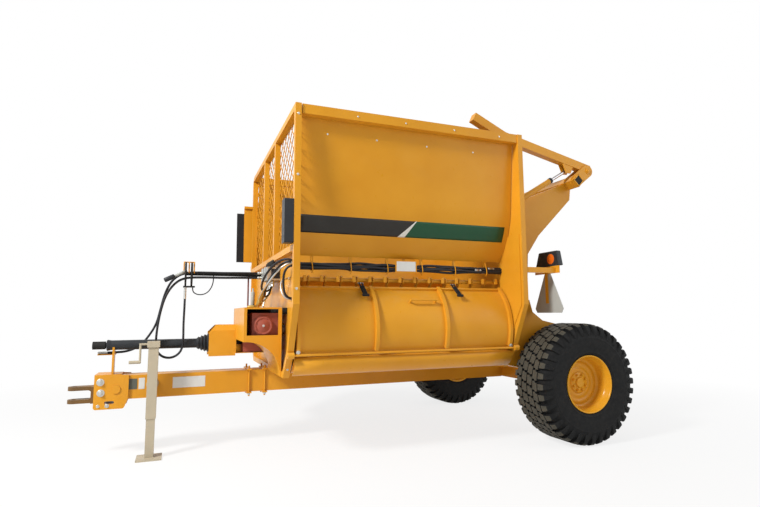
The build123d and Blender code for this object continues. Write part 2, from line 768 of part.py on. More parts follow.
# Columns: distance ahead of the bellows' back, radius.
bellows = [(0, 80), (12, 84), (26, 70), (40, 79), (54, 62), (68, 70), (82, 52), (96, 58),
           (112, guard_radius)]
with BuildPart() as pto_guard:
    with BuildSketch(Plane(origin=(0, pto_y, pto_z), x_dir=(1, 0, 0), z_dir=(0, -1, 0))):
        with BuildLine():
            Polyline([(bellows_x, shaft_core)] + [(bellows_x + run, radius) for run, radius in bellows]
                     + [(guard_front_x, guard_radius), (guard_front_x + 30, guard_radius + 6),
                        (guard_front_x + 36, guard_radius), (guard_front_x + 36, shaft_core)], close=True)
        make_face()
    revolve(axis=pto_axis)
save(pto_guard, "pto_guard")
stand_x = guard_front_x - 30
stand_depth = 16
tray_front_x = nose_x
tray_low = -75
tray_z = 867
with BuildPart() as pto_stand:
    with BuildSketch(cross_plane(stand_x)):
        with BuildLine():
            Polyline([(20, 700), (20, 880), (pto_y - guard_radius, 915), (pto_y - guard_radius, 930),
                      (pto_y + guard_radius, 930), (pto_y + guard_radius, 915), (100, 880), (100, 700)],
                     close=True)
        make_face()
        with Locations((pto_y, pto_z)):
            Circle(guard_radius, mode=Mode.SUBTRACT)
    extrude(amount=stand_depth)
    with Locations(((stand_x + tray_front_x) / 2, (tray_low + 24) / 2, tray_z - 4)):
        Box(tray_front_x - stand_x, 24 - tray_low, 8)
save(pto_stand, "pto_stand")

# Frame pieces behind the hopper: hanger plates over the axle, with the loader's pivot pins.
pivot_x = axle_x + 300
pivot_z = 1250
pivot_radius = 25
hanger_y = 880
hanger = 20
arm_width = 80
arm_outer = hanger_y - 30
with BuildPart() as hanger_plates:
    for name, side in SIDES:
        start = hanger_y if side > 0 else -hanger_y - hanger
        with BuildSketch(side_plane(start)):
            with BuildLine():
                Polyline(on_side([(hopper_rear, 700), (hopper_rear, 1330), (250, 1330), (215, 1210), (100, 1125),
                                  (-axle_tube / 2, 1090), (-axle_tube / 2, axle_z + axle_tube / 2),
                                  (axle_tube / 2, axle_z + axle_tube / 2), (250, 640)]), close=True)
            make_face()
        extrude(amount=hanger)
        pin_start = arm_outer - arm_width - 10
        with BuildSketch(side_plane(pin_start if side > 0 else -hanger_y)):
            with Locations((-pivot_x, pivot_z)):
                Circle(pivot_radius)
        extrude(amount=hanger_y - pin_start)
save(hanger_plates, "hanger_plates")

# Loader: cranked lift arms joined by a square cross tube.
tip = (-370, 2590)
heel = (-540, 2720)
arm_depth = 120
fork_y = 900
fork_width = 80
cheek_gap = 6
lug = 12
heel_pin = 20
tube_size = 100
arm_eye = (242, 1696)
arm_outline = [(-400, 2620), (150, 2400), (400, 2400), (430, 2250), (380, 1800), (360, pivot_z),
               (240, pivot_z), (205, 1800), (60, 2000), (-370, 2410)]
rod_eye_half = 25
fold_base = (330, 2340)
fold_eye = (-300, 2715)
fold_pin = 16
with BuildPart() as lift_arms:
    for name, side in SIDES:
        inner = side * (arm_outer - arm_width) if side > 0 else side * arm_outer
        with BuildSketch(side_plane(inner)):
            with BuildLine():
                Polyline(on_side(arm_outline), close=True)
            make_face()
            with Locations(on_side([(300, pivot_z)])[0]):
                Circle(arm_depth / 2)
            with Locations(on_side([(300, pivot_z)])[0]):
                Circle(pivot_radius + running_fit, mode=Mode.SUBTRACT)
        extrude(amount=arm_width)
        boss_length = arm_outer - arm_width - cylinder_y - rod_eye_half - cheek_gap
        with BuildSketch(side_plane(inner - boss_length if side > 0 else inner + arm_width)):
            with Locations(on_side([arm_eye])[0]):
                Circle(30)
        extrude(amount=boss_length)
        fold_boss = fork_y + 34 - arm_outer
        with BuildSketch(side_plane(arm_outer if side > 0 else -arm_outer - fold_boss)):
            with Locations(on_side([fold_base])[0]):
                Circle(fold_pin)
        extrude(amount=fold_boss)
        for y in (fork_y - fork_width / 2 - cheek_gap - lug, fork_y + fork_width / 2 + cheek_gap):
            with BuildSketch(side_plane(y if side > 0 else -y - lug)):
                with BuildLine():
                    Polyline(on_side([tip, heel]))
                trace(line_width=130)
                with Locations(on_side([heel])[0], on_side([tip])[0]):
                    Circle(65)
            extrude(amount=lug)
        with BuildSketch(side_plane(fork_y - fork_width / 2 - cheek_gap - lug if side > 0 else
                                    -fork_y - fork_width / 2 - cheek_gap - lug)):
            with Locations(on_side([heel])[0]):
                Circle(heel_pin)
        extrude(amount=fork_width + 2 * cheek_gap + 2 * lug)
    with BuildSketch(side_plane(-1000)):
        with Locations(Location(on_side([tip])[0], 45)):
            Rectangle(tube_size, tube_size)
    extrude(amount=2000)
save(lift_arms, "lift_arms")

# Forks: bent box tines hinged at their heels.
fork_depth = 85
kink = (500, 2990)
fork_tip = (850, 3150)
for name, side in SIDES:
    with BuildPart() as fork:
        with BuildSketch(side_plane(side * fork_y - fork_width / 2)):
            with BuildLine():
                Polyline(on_side([(-590, 2745), kink, fork_tip]))
            trace(line_width=fork_depth)
            with Locations(on_side([heel])[0]):
                Circle(60)
                Circle(heel_pin + running_fit, mode=Mode.SUBTRACT)
        extrude(amount=fork_width)
        for offset in (-1, 1):
            with BuildSketch(side_plane(side * fork_y + offset * 30 - 6)):
                with BuildLine():
                    Polyline(on_side([(-370, 2770), (-330, 2680), (-270, 2680), (-220, 2805)]), close=True)
                make_face()
            extrude(amount=12)
    save(fork, f"fork_{name}")

# Lift cylinders: barrel on the rear frame, rod to the lift arm.
rod_radius = 22
stroke_start = hypot(arm_eye[0] - base[0], arm_eye[1] - base[1])
barrel_length = 480
lift_turn = radians(100)
pivot_ahead = pivot_x - axle_x
eye_ahead = arm_eye[0] - pivot_ahead
eye_above = arm_eye[1] - pivot_z
closed_x = pivot_ahead + eye_ahead * cos(lift_turn) - eye_above * sin(lift_turn)
closed_z = pivot_z + eye_ahead * sin(lift_turn) + eye_above * cos(lift_turn)
lift_stroke = stroke_start - hypot(closed_x - base[0], closed_z - base[1])
lean_x = (arm_eye[0] - base[0]) / stroke_start
lean_z = (arm_eye[1] - base[1]) / stroke_start
eye_radius = 42
bore_start = eye_radius + 20
rod_start = bore_start + moving_gap + lift_stroke
for name, side in SIDES:
    start = (axle_x + base[0], side * cylinder_y, base[1])
    run = Plane(origin=start, x_dir=(0, 1, 0), z_dir=(lean_x, 0, lean_z))
    with BuildPart() as barrel_part:
        with BuildSketch(run.offset(eye_radius - 10)):
            Circle(barrel_radius)
        extrude(amount=barrel_length - eye_radius + 10)
        with BuildSketch(run.offset(bore_start)):
            Circle(rod_radius + running_fit)
        extrude(amount=barrel_length, mode=Mode.SUBTRACT)
        with Locations(along_y(*start)):
            Cylinder(eye_radius, 60)
            Cylinder(base_pin + running_fit, 60, mode=Mode.SUBTRACT)
    save(barrel_part, f"lift_barrel_{name}")
    with BuildPart() as rod_part:
        with BuildSketch(run.offset(rod_start)):
            Circle(rod_radius)
        extrude(amount=stroke_start - rod_start)
        with Locations(along_y(axle_x + arm_eye[0], side * cylinder_y, arm_eye[1])):
            Cylinder(36, 2 * rod_eye_half)
    save(rod_part, f"lift_rod_{name}")

# Fold cylinders: barrel on the lift arm, rod to the fork's lugs.
fold_length = hypot(fold_eye[0] - fold_base[0], fold_eye[1] - fold_base[1])
fold_lean_x = (fold_eye[0] - fold_base[0]) / fold_length
fold_lean_z = (fold_eye[1] - fold_base[1]) / fold_length
fold_radius = 28
fold_barrel = 470
for name, side in SIDES:
    start = (axle_x + fold_base[0], side * fork_y, fold_base[1])
    run = Plane(origin=start, x_dir=(0, 1, 0), z_dir=(fold_lean_x, 0, fold_lean_z))
    with BuildPart() as fold_barrel_part:
        with BuildSketch(run.offset(20)):
            Circle(fold_radius)
        extrude(amount=fold_barrel - 20)
        with BuildSketch(run.offset(40)):
            Circle(rod_radius - 6 + running_fit)
        extrude(amount=fold_barrel, mode=Mode.SUBTRACT)
        with Locations(along_y(*start)):
            Cylinder(fold_radius + 4, 50)
            Cylinder(fold_pin + running_fit, 50, mode=Mode.SUBTRACT)
    save(fold_barrel_part, f"fold_barrel_{name}")
    with BuildPart() as fold_rod_part:
        with BuildSketch(run.offset(60)):
            Circle(rod_radius - 6)
        extrude(amount=fold_length - 60)
        with Locations(along_y(axle_x + fold_eye[0], side * fork_y, fold_eye[1])):
            Cylinder(24, 36)
    save(fold_rod_part, f"fold_rod_{name}")

# Discharge deflector on the right: folded up, hinged along its lower edge, with a rubber sheet outside.
flap_front_x = axle_x + 2800
flap_rear_x = axle_x + 640
flap_lean = 4
flap_height = 780
flap_sheet = 8
rubber_sheet = 12
rubber_low = 75
rubber_high = 690


def flap_plane(x):
    # Drawn as distance up the flap from its hinge and distance outboard, extruding forward.
    return Plane(origin=(x, flap_y, flap_z), x_dir=(0, -tan(radians(flap_lean)), 1), z_dir=(1, 0, 0))


with BuildPart() as deflector:
    with BuildSketch(cross_plane(rear_x)):
        with Locations((flap_y, flap_z)):
            Circle(flap_rod)
    extrude(amount=front_x - rear_x)
    with BuildSketch(flap_plane(inner_rear_x + moving_gap)):
        with Locations((40, 0)):
            Rectangle(80, flap_sheet)
    extrude(amount=inner_front_x - inner_rear_x - 2 * moving_gap)
    with BuildSketch(flap_plane(flap_rear_x)):
        with Locations(((rubber_low + flap_height) / 2, 0)):
            Rectangle(flap_height - rubber_low, flap_sheet)
        with Locations((flap_height - 15, -15)):
            Rectangle(30, 30)
    extrude(amount=flap_front_x - flap_rear_x)
save(deflector, "deflector")
with BuildPart() as deflector_rubber:
    with BuildSketch(flap_plane(flap_rear_x - 20)):
        with Locations(((rubber_low + rubber_high) / 2, (flap_sheet + rubber_sheet) / 2)):
            Rectangle(rubber_high - rubber_low, rubber_sheet)
    extrude(amount=flap_front_x + 85 - flap_rear_x + 20)
save(deflector_rubber, "deflector_rubber")

# Rear lamps on the frame's arms, and a blank three-sided sign under the left one.
lamp_depth = 60
lamp_height = 150
sign_half = 200
sign_low = lamp_z - 400
with BuildPart() as rear_lamps:
    for name, side in SIDES:
        with BuildSketch(cross_plane(lamp_x - lamp_depth)):
            with Locations((side * lamp_y, lamp_z + 45 + lamp_height / 2)):
                RectangleRounded(lamp_width, lamp_height, 20)
        extrude(amount=lamp_depth, taper=6)
save(rear_lamps, "rear_lamps")
with BuildPart() as triangle_sign:
    with BuildSketch(cross_plane(lamp_x - 10)) as sign_outline:
        with BuildLine():
            Polyline([(lamp_y - sign_half, sign_low + 40), (lamp_y - sign_half + 25, sign_low),
                      (lamp_y + sign_half - 25, sign_low), (lamp_y + sign_half, sign_low + 40),
                      (lamp_y + 30, lamp_z), (lamp_y - 30, lamp_z)], close=True)
        make_face()
        fillet(sign_outline.vertices(), 8)
    extrude(amount=4)
save(triangle_sign, "triangle_sign")

# Hose support: a rod out over the drawbar with two rings, and the valve block it starts from.
support_y = 130
support_z = 1575
support_front_x = front_x + 770
valve_depth = 80
dock_z = 1455
with BuildPart() as valve_block:
    with BuildSketch(cross_plane(inner_front_x)):
        with Locations((support_y + 130, support_z)):
            Rectangle(360, 130)
    extrude(amount=frame_depth + valve_depth)
save(valve_block, "valve_block")
with BuildPart() as hose_support:
    with BuildSketch(cross_plane(front_x + valve_depth)):
        with Locations((support_y, support_z)):
            Circle(11)
    extrude(amount=support_front_x - front_x - valve_depth)
    for x in (support_front_x - 60, support_front_x - 8):
        with Locations(along_x(x, support_y, support_z)):
            Torus(105, 8)
        with BuildSketch(cross_plane(x - 8)):
            with Locations((support_y, support_z)):
                Rectangle(16, 200)
        extrude(amount=16)
    with Locations((support_front_x - 40, support_y, dock_z + 6)):
        Box(100, 90, 12)
save(hose_support, "hose_support")

# Document box on the left front post.
with BuildPart() as document_box:
    with BuildSketch(cross_plane(front_x)):
        with Locations((hopper_half_width - 60, 1930)):
            RectangleRounded(110, 350, 12)
    extrude(amount=75)
save(document_box, "document_box")

# Hoses held along the left wall, on the wall's straps.
side_hose = 10
hose_space = 2
with BuildPart() as side_hoses:
    for index in range(3):
        y = strap_y + side_hose
        z = strap_low + 20 + index * (2 * side_hose + hose_space)
        with BuildSketch(cross_plane(wall_rear_x)):
            with Locations((y, z)):
                Circle(side_hose)
        extrude(amount=wall_length)
save(side_hoses, "side_hoses")

# Clamps round the drawbar under the front frame.
clamp_bolt = 8
clamp_plate = 12
with BuildPart() as beam_clamps:
    for x in (front_x + 25, front_x + 170):
        for z in (beam_bottom - clamp_plate / 2, beam_top + clamp_plate / 2):
            with Locations((x, 0, z)):
                Box(46, beam_width + 70, clamp_plate)
        for y in (beam_side + clamp_bolt + 2, -beam_side - clamp_bolt - 2):
            with Locations((x, y, beam_bottom + beam_height / 2)):
                Cylinder(clamp_bolt, beam_height + 80)
save(beam_clamps, "beam_clamps")

# Free hoses: routes as distance ahead of the axle, side and height.
hose_radius = 9.5
cable_radius = 5


def lay(name, radius, route):
    points = [Vector(axle_x + x, y, z) for x, y, z in route]
    bends = []
    for before, here, after in zip(points, points[1:], points[2:]):
        turn = (here - before).get_angle(after - here)
        run = min((here - before).length, (after - here).length)
        bends.append(0.45 * run / tan(radians(turn / 2)))
    print(name, "least bend radius", round(min(bends), 1), "for cord radius", radius)
    with BuildPart() as cord:
        with BuildLine() as path:
            FilletPolyline(*points, radius=bends)
        with BuildSketch(Plane(origin=path.line @ 0, z_dir=path.line % 0)):
            Circle(radius)
        sweep(path=path.line)
    save(cord, name)


valve_face = hopper_front + valve_depth
# Columns: distance ahead of the axle, side of the first and second hose from the support rod, height from it.
far_route = [(valve_face, 22, -22, 22), (2960, 22, -22, 22), (3140, 22, -22, 17), (3320, 22, -22, 19),
             (3490, 22, -22, 14), (3585, -4, -44, -50), (3640, -42, -80, -165), (3674, -82, -114, -312),
             (3704, -112, -146, -455), (3772, -130, -163, -572), (3840, -134, -168, -652), (3930, -134, -170, -690),
             (4020, -132, -168, -697), (4090, -132, -168, -697)]
near_route = [(valve_face, 22, -22, -22), (2960, 22, -22, -22), (3140, 22, -22, -27), (3320, 22, -22, -25),
              (3488, 22, -22, -32), (3575, 22, -16, -95), (3636, 21, -9, -200), (3670, 20, -5, -330),
              (3690, 20, -4, -465), (3697, 20, -4, -560), (3698, 20, -4, -640), (3683, 20, -4, -696),
              (3642, 20, -4, -737), (3586, 20, -4, -752), (3530, 20, -4, -737), (3489, 20, -4, -696),
              (3474, 20, -4, -640), (3472, 20, -5, -560), (3475, 21, -9, -470), (3474, 22, -18, -385),
              (3472, 22, -22, -295), (3472, 22, -22, -225)]
cable_route = [(3408, -20, -120), (3408, -20, -150), (3387, -15, -176), (3350, -10, -187), (3310, -6, -183),
               (3275, -3, -163), (3250, -1, -130), (3234, 0, -90), (3228, 0, -48), (3228, 0, -11)]
coupler_radius = 11
coupler_length = 75
with BuildPart() as hose_couplers:
    for column in (1, 2):
        far_end = far_route[-1]
        with Locations(along_x(axle_x + far_end[0] + coupler_length / 2, support_y + far_end[column],
                               support_z + far_end[3])):
            Cylinder(coupler_radius, coupler_length)
        near_end = near_route[-1]
        with Locations((axle_x + near_end[0], support_y + near_end[column],
                        (support_z + near_end[3] + dock_z) / 2)):
            Cylinder(coupler_radius, dock_z - support_z - near_end[3])
save(hose_couplers, "hose_couplers")
lay("cable", cable_radius, [(x, support_y + y, support_z + z) for x, y, z in cable_route])
for kind, route in (("far", far_route), ("near", near_route)):
    for column in (1, 2):
        lay(f"hose_{kind}_{column}", hose_radius,
            [(row[0], support_y + row[column], support_z + row[3]) for row in route])
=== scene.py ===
import json
import math

import bmesh
import bpy
from mathutils import Matrix, Vector
from mathutils.bvhtree import BVHTree


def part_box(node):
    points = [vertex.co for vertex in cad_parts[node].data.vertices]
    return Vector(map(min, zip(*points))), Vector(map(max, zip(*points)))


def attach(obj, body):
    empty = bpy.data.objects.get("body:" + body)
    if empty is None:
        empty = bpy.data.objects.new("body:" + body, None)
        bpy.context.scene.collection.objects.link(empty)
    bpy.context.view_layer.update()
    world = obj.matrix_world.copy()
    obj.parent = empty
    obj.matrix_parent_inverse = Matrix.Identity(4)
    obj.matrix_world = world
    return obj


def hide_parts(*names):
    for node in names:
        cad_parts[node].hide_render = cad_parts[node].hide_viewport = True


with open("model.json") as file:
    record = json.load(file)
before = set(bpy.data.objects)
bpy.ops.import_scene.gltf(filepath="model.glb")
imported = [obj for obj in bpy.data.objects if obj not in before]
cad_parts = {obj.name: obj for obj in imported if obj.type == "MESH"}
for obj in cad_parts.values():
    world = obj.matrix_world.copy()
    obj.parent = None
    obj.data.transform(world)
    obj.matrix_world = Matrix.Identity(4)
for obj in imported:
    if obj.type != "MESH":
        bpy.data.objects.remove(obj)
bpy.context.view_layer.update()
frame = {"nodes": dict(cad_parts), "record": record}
scene = bpy.context.scene
scene.view_settings.view_transform = "Standard"

wheelLow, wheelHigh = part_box("tyre_left")
axleX = (wheelLow[0] + wheelHigh[0]) / 2
axleZ = (wheelLow[2] + wheelHigh[2]) / 2
wheelY = (wheelLow[1] + wheelHigh[1]) / 2


def ahead(x, y, z):
    # a point given as distance ahead of the axle, to the left and up, in metres
    return Vector((axleX + x, y, z))


def metres(rows):
    # long tables are written in millimetres
    return [tuple(number / 1000 for number in row) for row in rows]


# small helpers for shader nodes

def feed(tree, node, inputs):
    # sets each input to its value, or links it where a socket is given
    for name, value in inputs.items():
        socket = node.inputs[name]
        if isinstance(value, bpy.types.NodeSocket):
            tree.links.new(value, socket)
        else:
            socket.default_value = (*value, 1.0) if socket.type == "RGBA" else value


def addNode(tree, kind, inputs, output, **settings):
    node = tree.nodes.new(f"ShaderNode{kind}")
    for name, value in settings.items():
        setattr(node, name, value)
    feed(tree, node, inputs)
    return node.outputs[output]


def startMaterial(name):
    material = bpy.data.materials.new(name)
    material.use_nodes = True
    tree = material.node_tree
    return material, tree, tree.nodes["Principled BSDF"]


def placeSocket(tree, stretch=(1, 1, 1)):
    place = addNode(tree, "TexCoord", {}, "Object")
    return addNode(tree, "Mapping", {"Vector": place, "Scale": stretch}, "Vector")


def noiseSocket(tree, scale, detail, rough=0.55, stretch=(1, 1, 1)):
    settings = {"Vector": placeSocket(tree, stretch), "Scale": scale, "Detail": detail, "Roughness": rough}
    return addNode(tree, "TexNoise", settings, "Fac")


def rampSocket(tree, source, low, high, lowValue=0.0, highValue=1.0):
    levels = {"Value": source, "From Min": low, "From Max": high, "To Min": lowValue, "To Max": highValue}
    return addNode(tree, "MapRange", levels, "Result")


def maskSocket(tree, pattern, values=(0.0, 1.0), stretch=(1, 1, 1)):
    # a noise pattern, cut between two levels and spread over two values
    scale, detail, rough, low, high = pattern
    return rampSocket(tree, noiseSocket(tree, scale, detail, rough, stretch), low, high, *values)


def mathSocket(tree, operation, first, second):
    return addNode(tree, "Math", {0: first, 1: second}, "Value", operation=operation)


def multiply(tree, first, second):
    return mathSocket(tree, "MULTIPLY", first, second)


def colourMix(tree, mask, first, second):
    # the colour sockets of a Mix node come after its number and vector sockets
    return addNode(tree, "Mix", {0: mask, 6: first, 7: second}, 2, data_type="RGBA")


def bumpSocket(tree, height, strength, distance):
    return addNode(tree, "Bump", {"Height": height, "Strength": strength, "Distance": distance}, "Normal")


def upwardSocket(tree, span):
    # 1 where a face looks up, 0 where it stands or looks down
    normal = addNode(tree, "NewGeometry", {}, "Normal")
    return rampSocket(tree, addNode(tree, "SeparateXYZ", {"Vector": normal}, "Z"), *span)


# paint, rubber and metal; noise columns: scale, detail, roughness, low level, high level

paintLook = {
    "colour": (0.7, 0.318, 0.021), "deepColour": (0.63, 0.268, 0.014), "dustColour": (0.55, 0.38, 0.18),
    "dust": 0.32, "gloss": 0.3, "shine": 0.22, "tone": (1.7, 3.0, 0.55, 0.3, 0.7),
    "patches": (7.0, 8.0, 0.7, 0.48, 0.75), "settles": (0.25, 0.95),
    "film": (2.3, 6.0, 0.65, 0.5, 0.8), "filmShare": 0.25,
    "scuff": (26.0, 6.0, 0.7, 0.3, 0.8), "scuffSpan": (-0.05, 0.16), "dustRoughness": 0.5,
    "peel": (620.0, 2.0), "peelShare": 0.06, "dents": (3.2, 2.0), "bump": (0.14, 0.006),
}


def paintMaterial(name, **changes):
    look = {**paintLook, **changes}
    material, tree, shader = startMaterial(name)
    base = colourMix(tree, maskSocket(tree, look["tone"]), look["colour"], look["deepColour"])
    upward = upwardSocket(tree, look["settles"])
    settled = multiply(tree, maskSocket(tree, look["patches"]), upward)
    film = multiply(tree, maskSocket(tree, look["film"]), look["filmShare"])
    dust = multiply(tree, mathSocket(tree, "ADD", settled, film), look["dust"])
    scuff = maskSocket(tree, look["scuff"], [look["gloss"] + part for part in look["scuffSpan"]])
    dull = multiply(tree, dust, look["dustRoughness"])
    peel = multiply(tree, noiseSocket(tree, *look["peel"]), look["peelShare"])
    height = mathSocket(tree, "ADD", peel, noiseSocket(tree, *look["dents"]))
    feed(tree, shader, {"Base Color": colourMix(tree, dust, base, look["dustColour"]),
                        "Roughness": mathSocket(tree, "ADD", scuff, dull), "Specular IOR Level": look["shine"],
                        "Normal": bumpSocket(tree, height, *look["bump"])})
    return material


rubberLook = {
    "colour": (0.0105, 0.0108, 0.0112), "dustColour": (0.06, 0.056, 0.048), "dust": 0.4, "shine": 0.14,
    "patches": (14.0, 8.0, 0.7, 0.42, 0.78), "grain": (180.0, 3.0, 0.55, 0.3, 0.8),
    "scuff": (40.0, 5.0, 0.55, 0.25, 0.8), "roughness": (0.55, 0.85),
    "pores": (288.0, 3.0), "bump": (0.25, 0.0015),
}


def rubberMaterial(name, **changes):
    look = {**rubberLook, **changes}
    material, tree, shader = startMaterial(name)
    specks = multiply(tree, maskSocket(tree, look["patches"]), maskSocket(tree, look["grain"]))
    dust = multiply(tree, specks, look["dust"])
    feed(tree, shader, {"Base Color": colourMix(tree, dust, look["colour"], look["dustColour"]),
                        "Roughness": maskSocket(tree, look["scuff"], look["roughness"]),
                        "Specular IOR Level": look["shine"],
                        "Normal": bumpSocket(tree, noiseSocket(tree, *look["pores"]), *look["bump"])})
    return material


metalLook = {
    # these two leave out the scale, which each metal brings
    "blotch": (6.0, 0.65, 0.35, 0.7),
    "scuff": (4.0, 0.55, 0.3, 0.75),
    "scuffScale": 2.2, "scuffSpan": 0.22, "grainScale": 7.0, "grainDetail": 3.0, "bump": (0.12, 0.001),
}


def metalMaterial(name, colour, darkColour, gloss, metallic=1.0, scale=30.0, stretch=(1, 1, 1), look=metalLook):
    material, tree, shader = startMaterial(name)
    blotch = maskSocket(tree, (scale, *look["blotch"]), stretch=stretch)
    scuff = maskSocket(tree, (scale * look["scuffScale"], *look["scuff"]), (gloss, gloss + look["scuffSpan"]))
    grain = noiseSocket(tree, scale * look["grainScale"], look["grainDetail"])
    feed(tree, shader, {"Base Color": colourMix(tree, blotch, colour, darkColour), "Roughness": scuff,
                        "Metallic": metallic, "Normal": bumpSocket(tree, grain, *look["bump"])})
    return material


plainLook = {
    "fade": (9.0, 5.0, 0.6, 0.35, 0.75), "fadeTo": (0.94, 0.006),
    "scuff": (33.0, 4.0, 0.55, 0.3, 0.75), "scuffSpan": (-0.06, 0.1), "grainDetail": 3.0, "bumpDepth": 0.001,
}


def plainMaterial(name, colour, roughness, grain, strength=0.1, shine=0.25, look=plainLook):
    # moulded plastic, coloured film and enamel: an even colour with a fine grain and slight fading
    material, tree, shader = startMaterial(name)
    share, lift = look["fadeTo"]
    faded = tuple(share * part + lift for part in colour)
    scuff = maskSocket(tree, look["scuff"], [roughness + part for part in look["scuffSpan"]])
    height = noiseSocket(tree, grain, look["grainDetail"])
    feed(tree, shader, {"Base Color": colourMix(tree, maskSocket(tree, look["fade"]), colour, faded),
                        "Roughness": scuff, "Specular IOR Level": shine,
                        "Normal": bumpSocket(tree, height, strength, look["bumpDepth"])})
    return material


bodyPaint = paintMaterial("yellowPaint")
# rim yellow, lighter than the body's: the rim's paint with painted sunlight
rimPaintWithPaintedSun = paintMaterial("rimPaintWithPaintedSun", colour=(0.76, 0.37, 0.022), deepColour=(0.7, 0.32, 0.016), dust=0.24,
                         gloss=0.2)
# dark brown paint for the hitch clevis
darkBrownPaint = paintMaterial("darkBrownPaint", colour=(0.24, 0.12, 0.028), deepColour=(0.1, 0.062, 0.03), gloss=0.42)
cylinderEnamel = paintMaterial("cylinderEnamel", dust=0.3)
tyreRubber = rubberMaterial("tyreRubber")
# lighter tread rubber for the tread faces: real dust, and painted sunlight on the tread
treadDustAndPaintedSun = rubberMaterial("treadDustAndPaintedSun", colour=(0.064, 0.059, 0.046), dustColour=(0.15, 0.134, 0.1),
                             dust=0.8)
blackRubber = rubberMaterial("blackRubber", colour=(0.018, 0.018, 0.019), dust=0.25)
rodChrome = metalMaterial("rodChrome", (0.52, 0.52, 0.54), (0.42, 0.42, 0.44), 0.14, stretch=(1, 1, 0.05))
bareSteel = metalMaterial("bareSteel", (0.52, 0.51, 0.49), (0.3, 0.27, 0.23), 0.34)
zincSteel = metalMaterial("zincSteel", (0.66, 0.66, 0.62), (0.5, 0.5, 0.47), 0.3, scale=60.0)
goldZinc = metalMaterial("goldZinc", (0.62, 0.43, 0.13), (0.42, 0.28, 0.09), 0.3, scale=60.0)
wornSteel = metalMaterial("wornSteel", (0.34, 0.3, 0.25), (0.17, 0.12, 0.085), 0.45, 0.85, 18.0)
hoseRubber = plainMaterial("hoseRubber", (0.016, 0.017, 0.02), 0.42, 240.0)
gearEnamel = plainMaterial("gearEnamel", (0.34, 0.085, 0.055), 0.5, 150.0, 0.3)
blackPlastic = plainMaterial("blackPlastic", (0.022, 0.024, 0.027), 0.4, 420.0)
jackEnamel = plainMaterial("jackEnamel", (0.46, 0.4, 0.29), 0.45, 260.0)
plateWhite = plainMaterial("plateWhite", (0.66, 0.66, 0.63), 0.4, 300.0)
gaugePlate = plainMaterial("gaugePlate", (0.1, 0.105, 0.085), 0.45, 300.0)
# near-black: the own colour of the PTO shaft's end, the hose support rod and the valve coils, and painted shade
# in the drawbar socket, inside the tube ends and behind the gear shield's window
darkSteelAndPaintedShade = plainMaterial("darkSteelAndPaintedShade", (0.012, 0.012, 0.011), 0.7, 200.0)
greyEnamel = plainMaterial("greyEnamel", (0.4, 0.41, 0.38), 0.55, 260.0)
oxideRed = plainMaterial("oxideRed", (0.16, 0.035, 0.025), 0.5, 200.0)
amberLens = plainMaterial("amberLens", (0.72, 0.13, 0.006), 0.14, 90.0, 0.5, 0.5)
redLens = plainMaterial("redLens", (0.42, 0.012, 0.01), 0.14, 90.0, 0.5, 0.5)
bandBlack = plainMaterial("bandBlack", (0.026, 0.023, 0.019), 0.34, 500.0, 0.05)
bandGreen = plainMaterial("bandGreen", (0.012, 0.075, 0.032), 0.34, 500.0, 0.05)
bandWhite = plainMaterial("bandWhite", (0.74, 0.73, 0.68), 0.34, 500.0, 0.05)

slotLooks = {
    "body_paint": bodyPaint, "rim_paint": rimPaintWithPaintedSun, "tyre_rubber": tyreRubber, "black_rubber": blackRubber,
    "gear_red": gearEnamel, "black_plastic": blackPlastic, "grey_steel": bareSteel, "jack_grey": jackEnamel,
    "chrome_rod": rodChrome, "cylinder_black": cylinderEnamel,
}
nodeLooks = {
    "rotor": wornSteel, "slug_bars": bodyPaint, "beam_clamps": bodyPaint, "valve_block": zincSteel,
    "hitch_clevis": darkBrownPaint, "triangle_sign": greyEnamel, "pto_shaft": darkSteelAndPaintedShade,
    "hose_support": darkSteelAndPaintedShade, "hose_couplers": zincSteel,
}
for part in frame["record"]["subparts"]:
    look = nodeLooks.get(part["node"], slotLooks[part["material_slot"]])
    shown = frame["nodes"][part["node"]]
    shown.data.materials.clear()
    shown.data.materials.append(look)
print("finishes set on", len(frame["nodes"]), "nodes")


# camera, fitted to the photograph

cameraLook = {
    "place": (1.6498, 5.1059, 1.203), "lens": 24.03, "sensor": 36.0, "yaw": 0.3759, "pitch": 0.1181,
    "roll": 0.0071,
}


def placeCamera(look):
    data = bpy.data.cameras.new("photoCamera")
    data.lens = look["lens"]
    data.sensor_width = look["sensor"]
    data.sensor_fit = "HORIZONTAL"
    camera = bpy.data.objects.new("photoCamera", data)
    heading = Matrix.Rotation(math.pi - look["yaw"], 4, "Z")
    tilt = Matrix.Rotation(math.pi / 2 + look["pitch"], 4, "X") @ Matrix.Rotation(-look["roll"], 4, "Z")
    camera.matrix_world = Matrix.Translation(look["place"]) @ heading @ tilt
    scene.collection.objects.link(camera)
    scene.camera = camera


placeCamera(cameraLook)


# pale floor and soft studio light

stageLook = {
    "floorSize": 60.0, "floorColour": (0.86, 0.86, 0.85), "floorRoughness": 0.95, "floorShine": 0.1,
    "floorWhite": 0.8, "fade": (2.6, 7.0), "skyColour": (1.0, 1.0, 1.0), "skyLight": 0.4, "skySeen": 1.0,
    # columns: watts, size, place, target
    "lights": {"keyLight": (820.0, 1.6, (6.8, 3.4, 6.4), (0.2, 0.4, 1.2)),
               "fillLight": (110.0, 5.0, (-6.0, 6.0, 4.0), (-0.5, 0.0, 1.3))},
}


def seenDirectly(tree):
    # 1 where the camera, a reflection or a view through glass meets the surface
    path = tree.nodes.new("ShaderNodeLightPath").outputs
    seen = mathSocket(tree, "MAXIMUM", path["Is Camera Ray"], path["Is Glossy Ray"])
    return mathSocket(tree, "MAXIMUM", seen, path["Is Transmission Ray"])


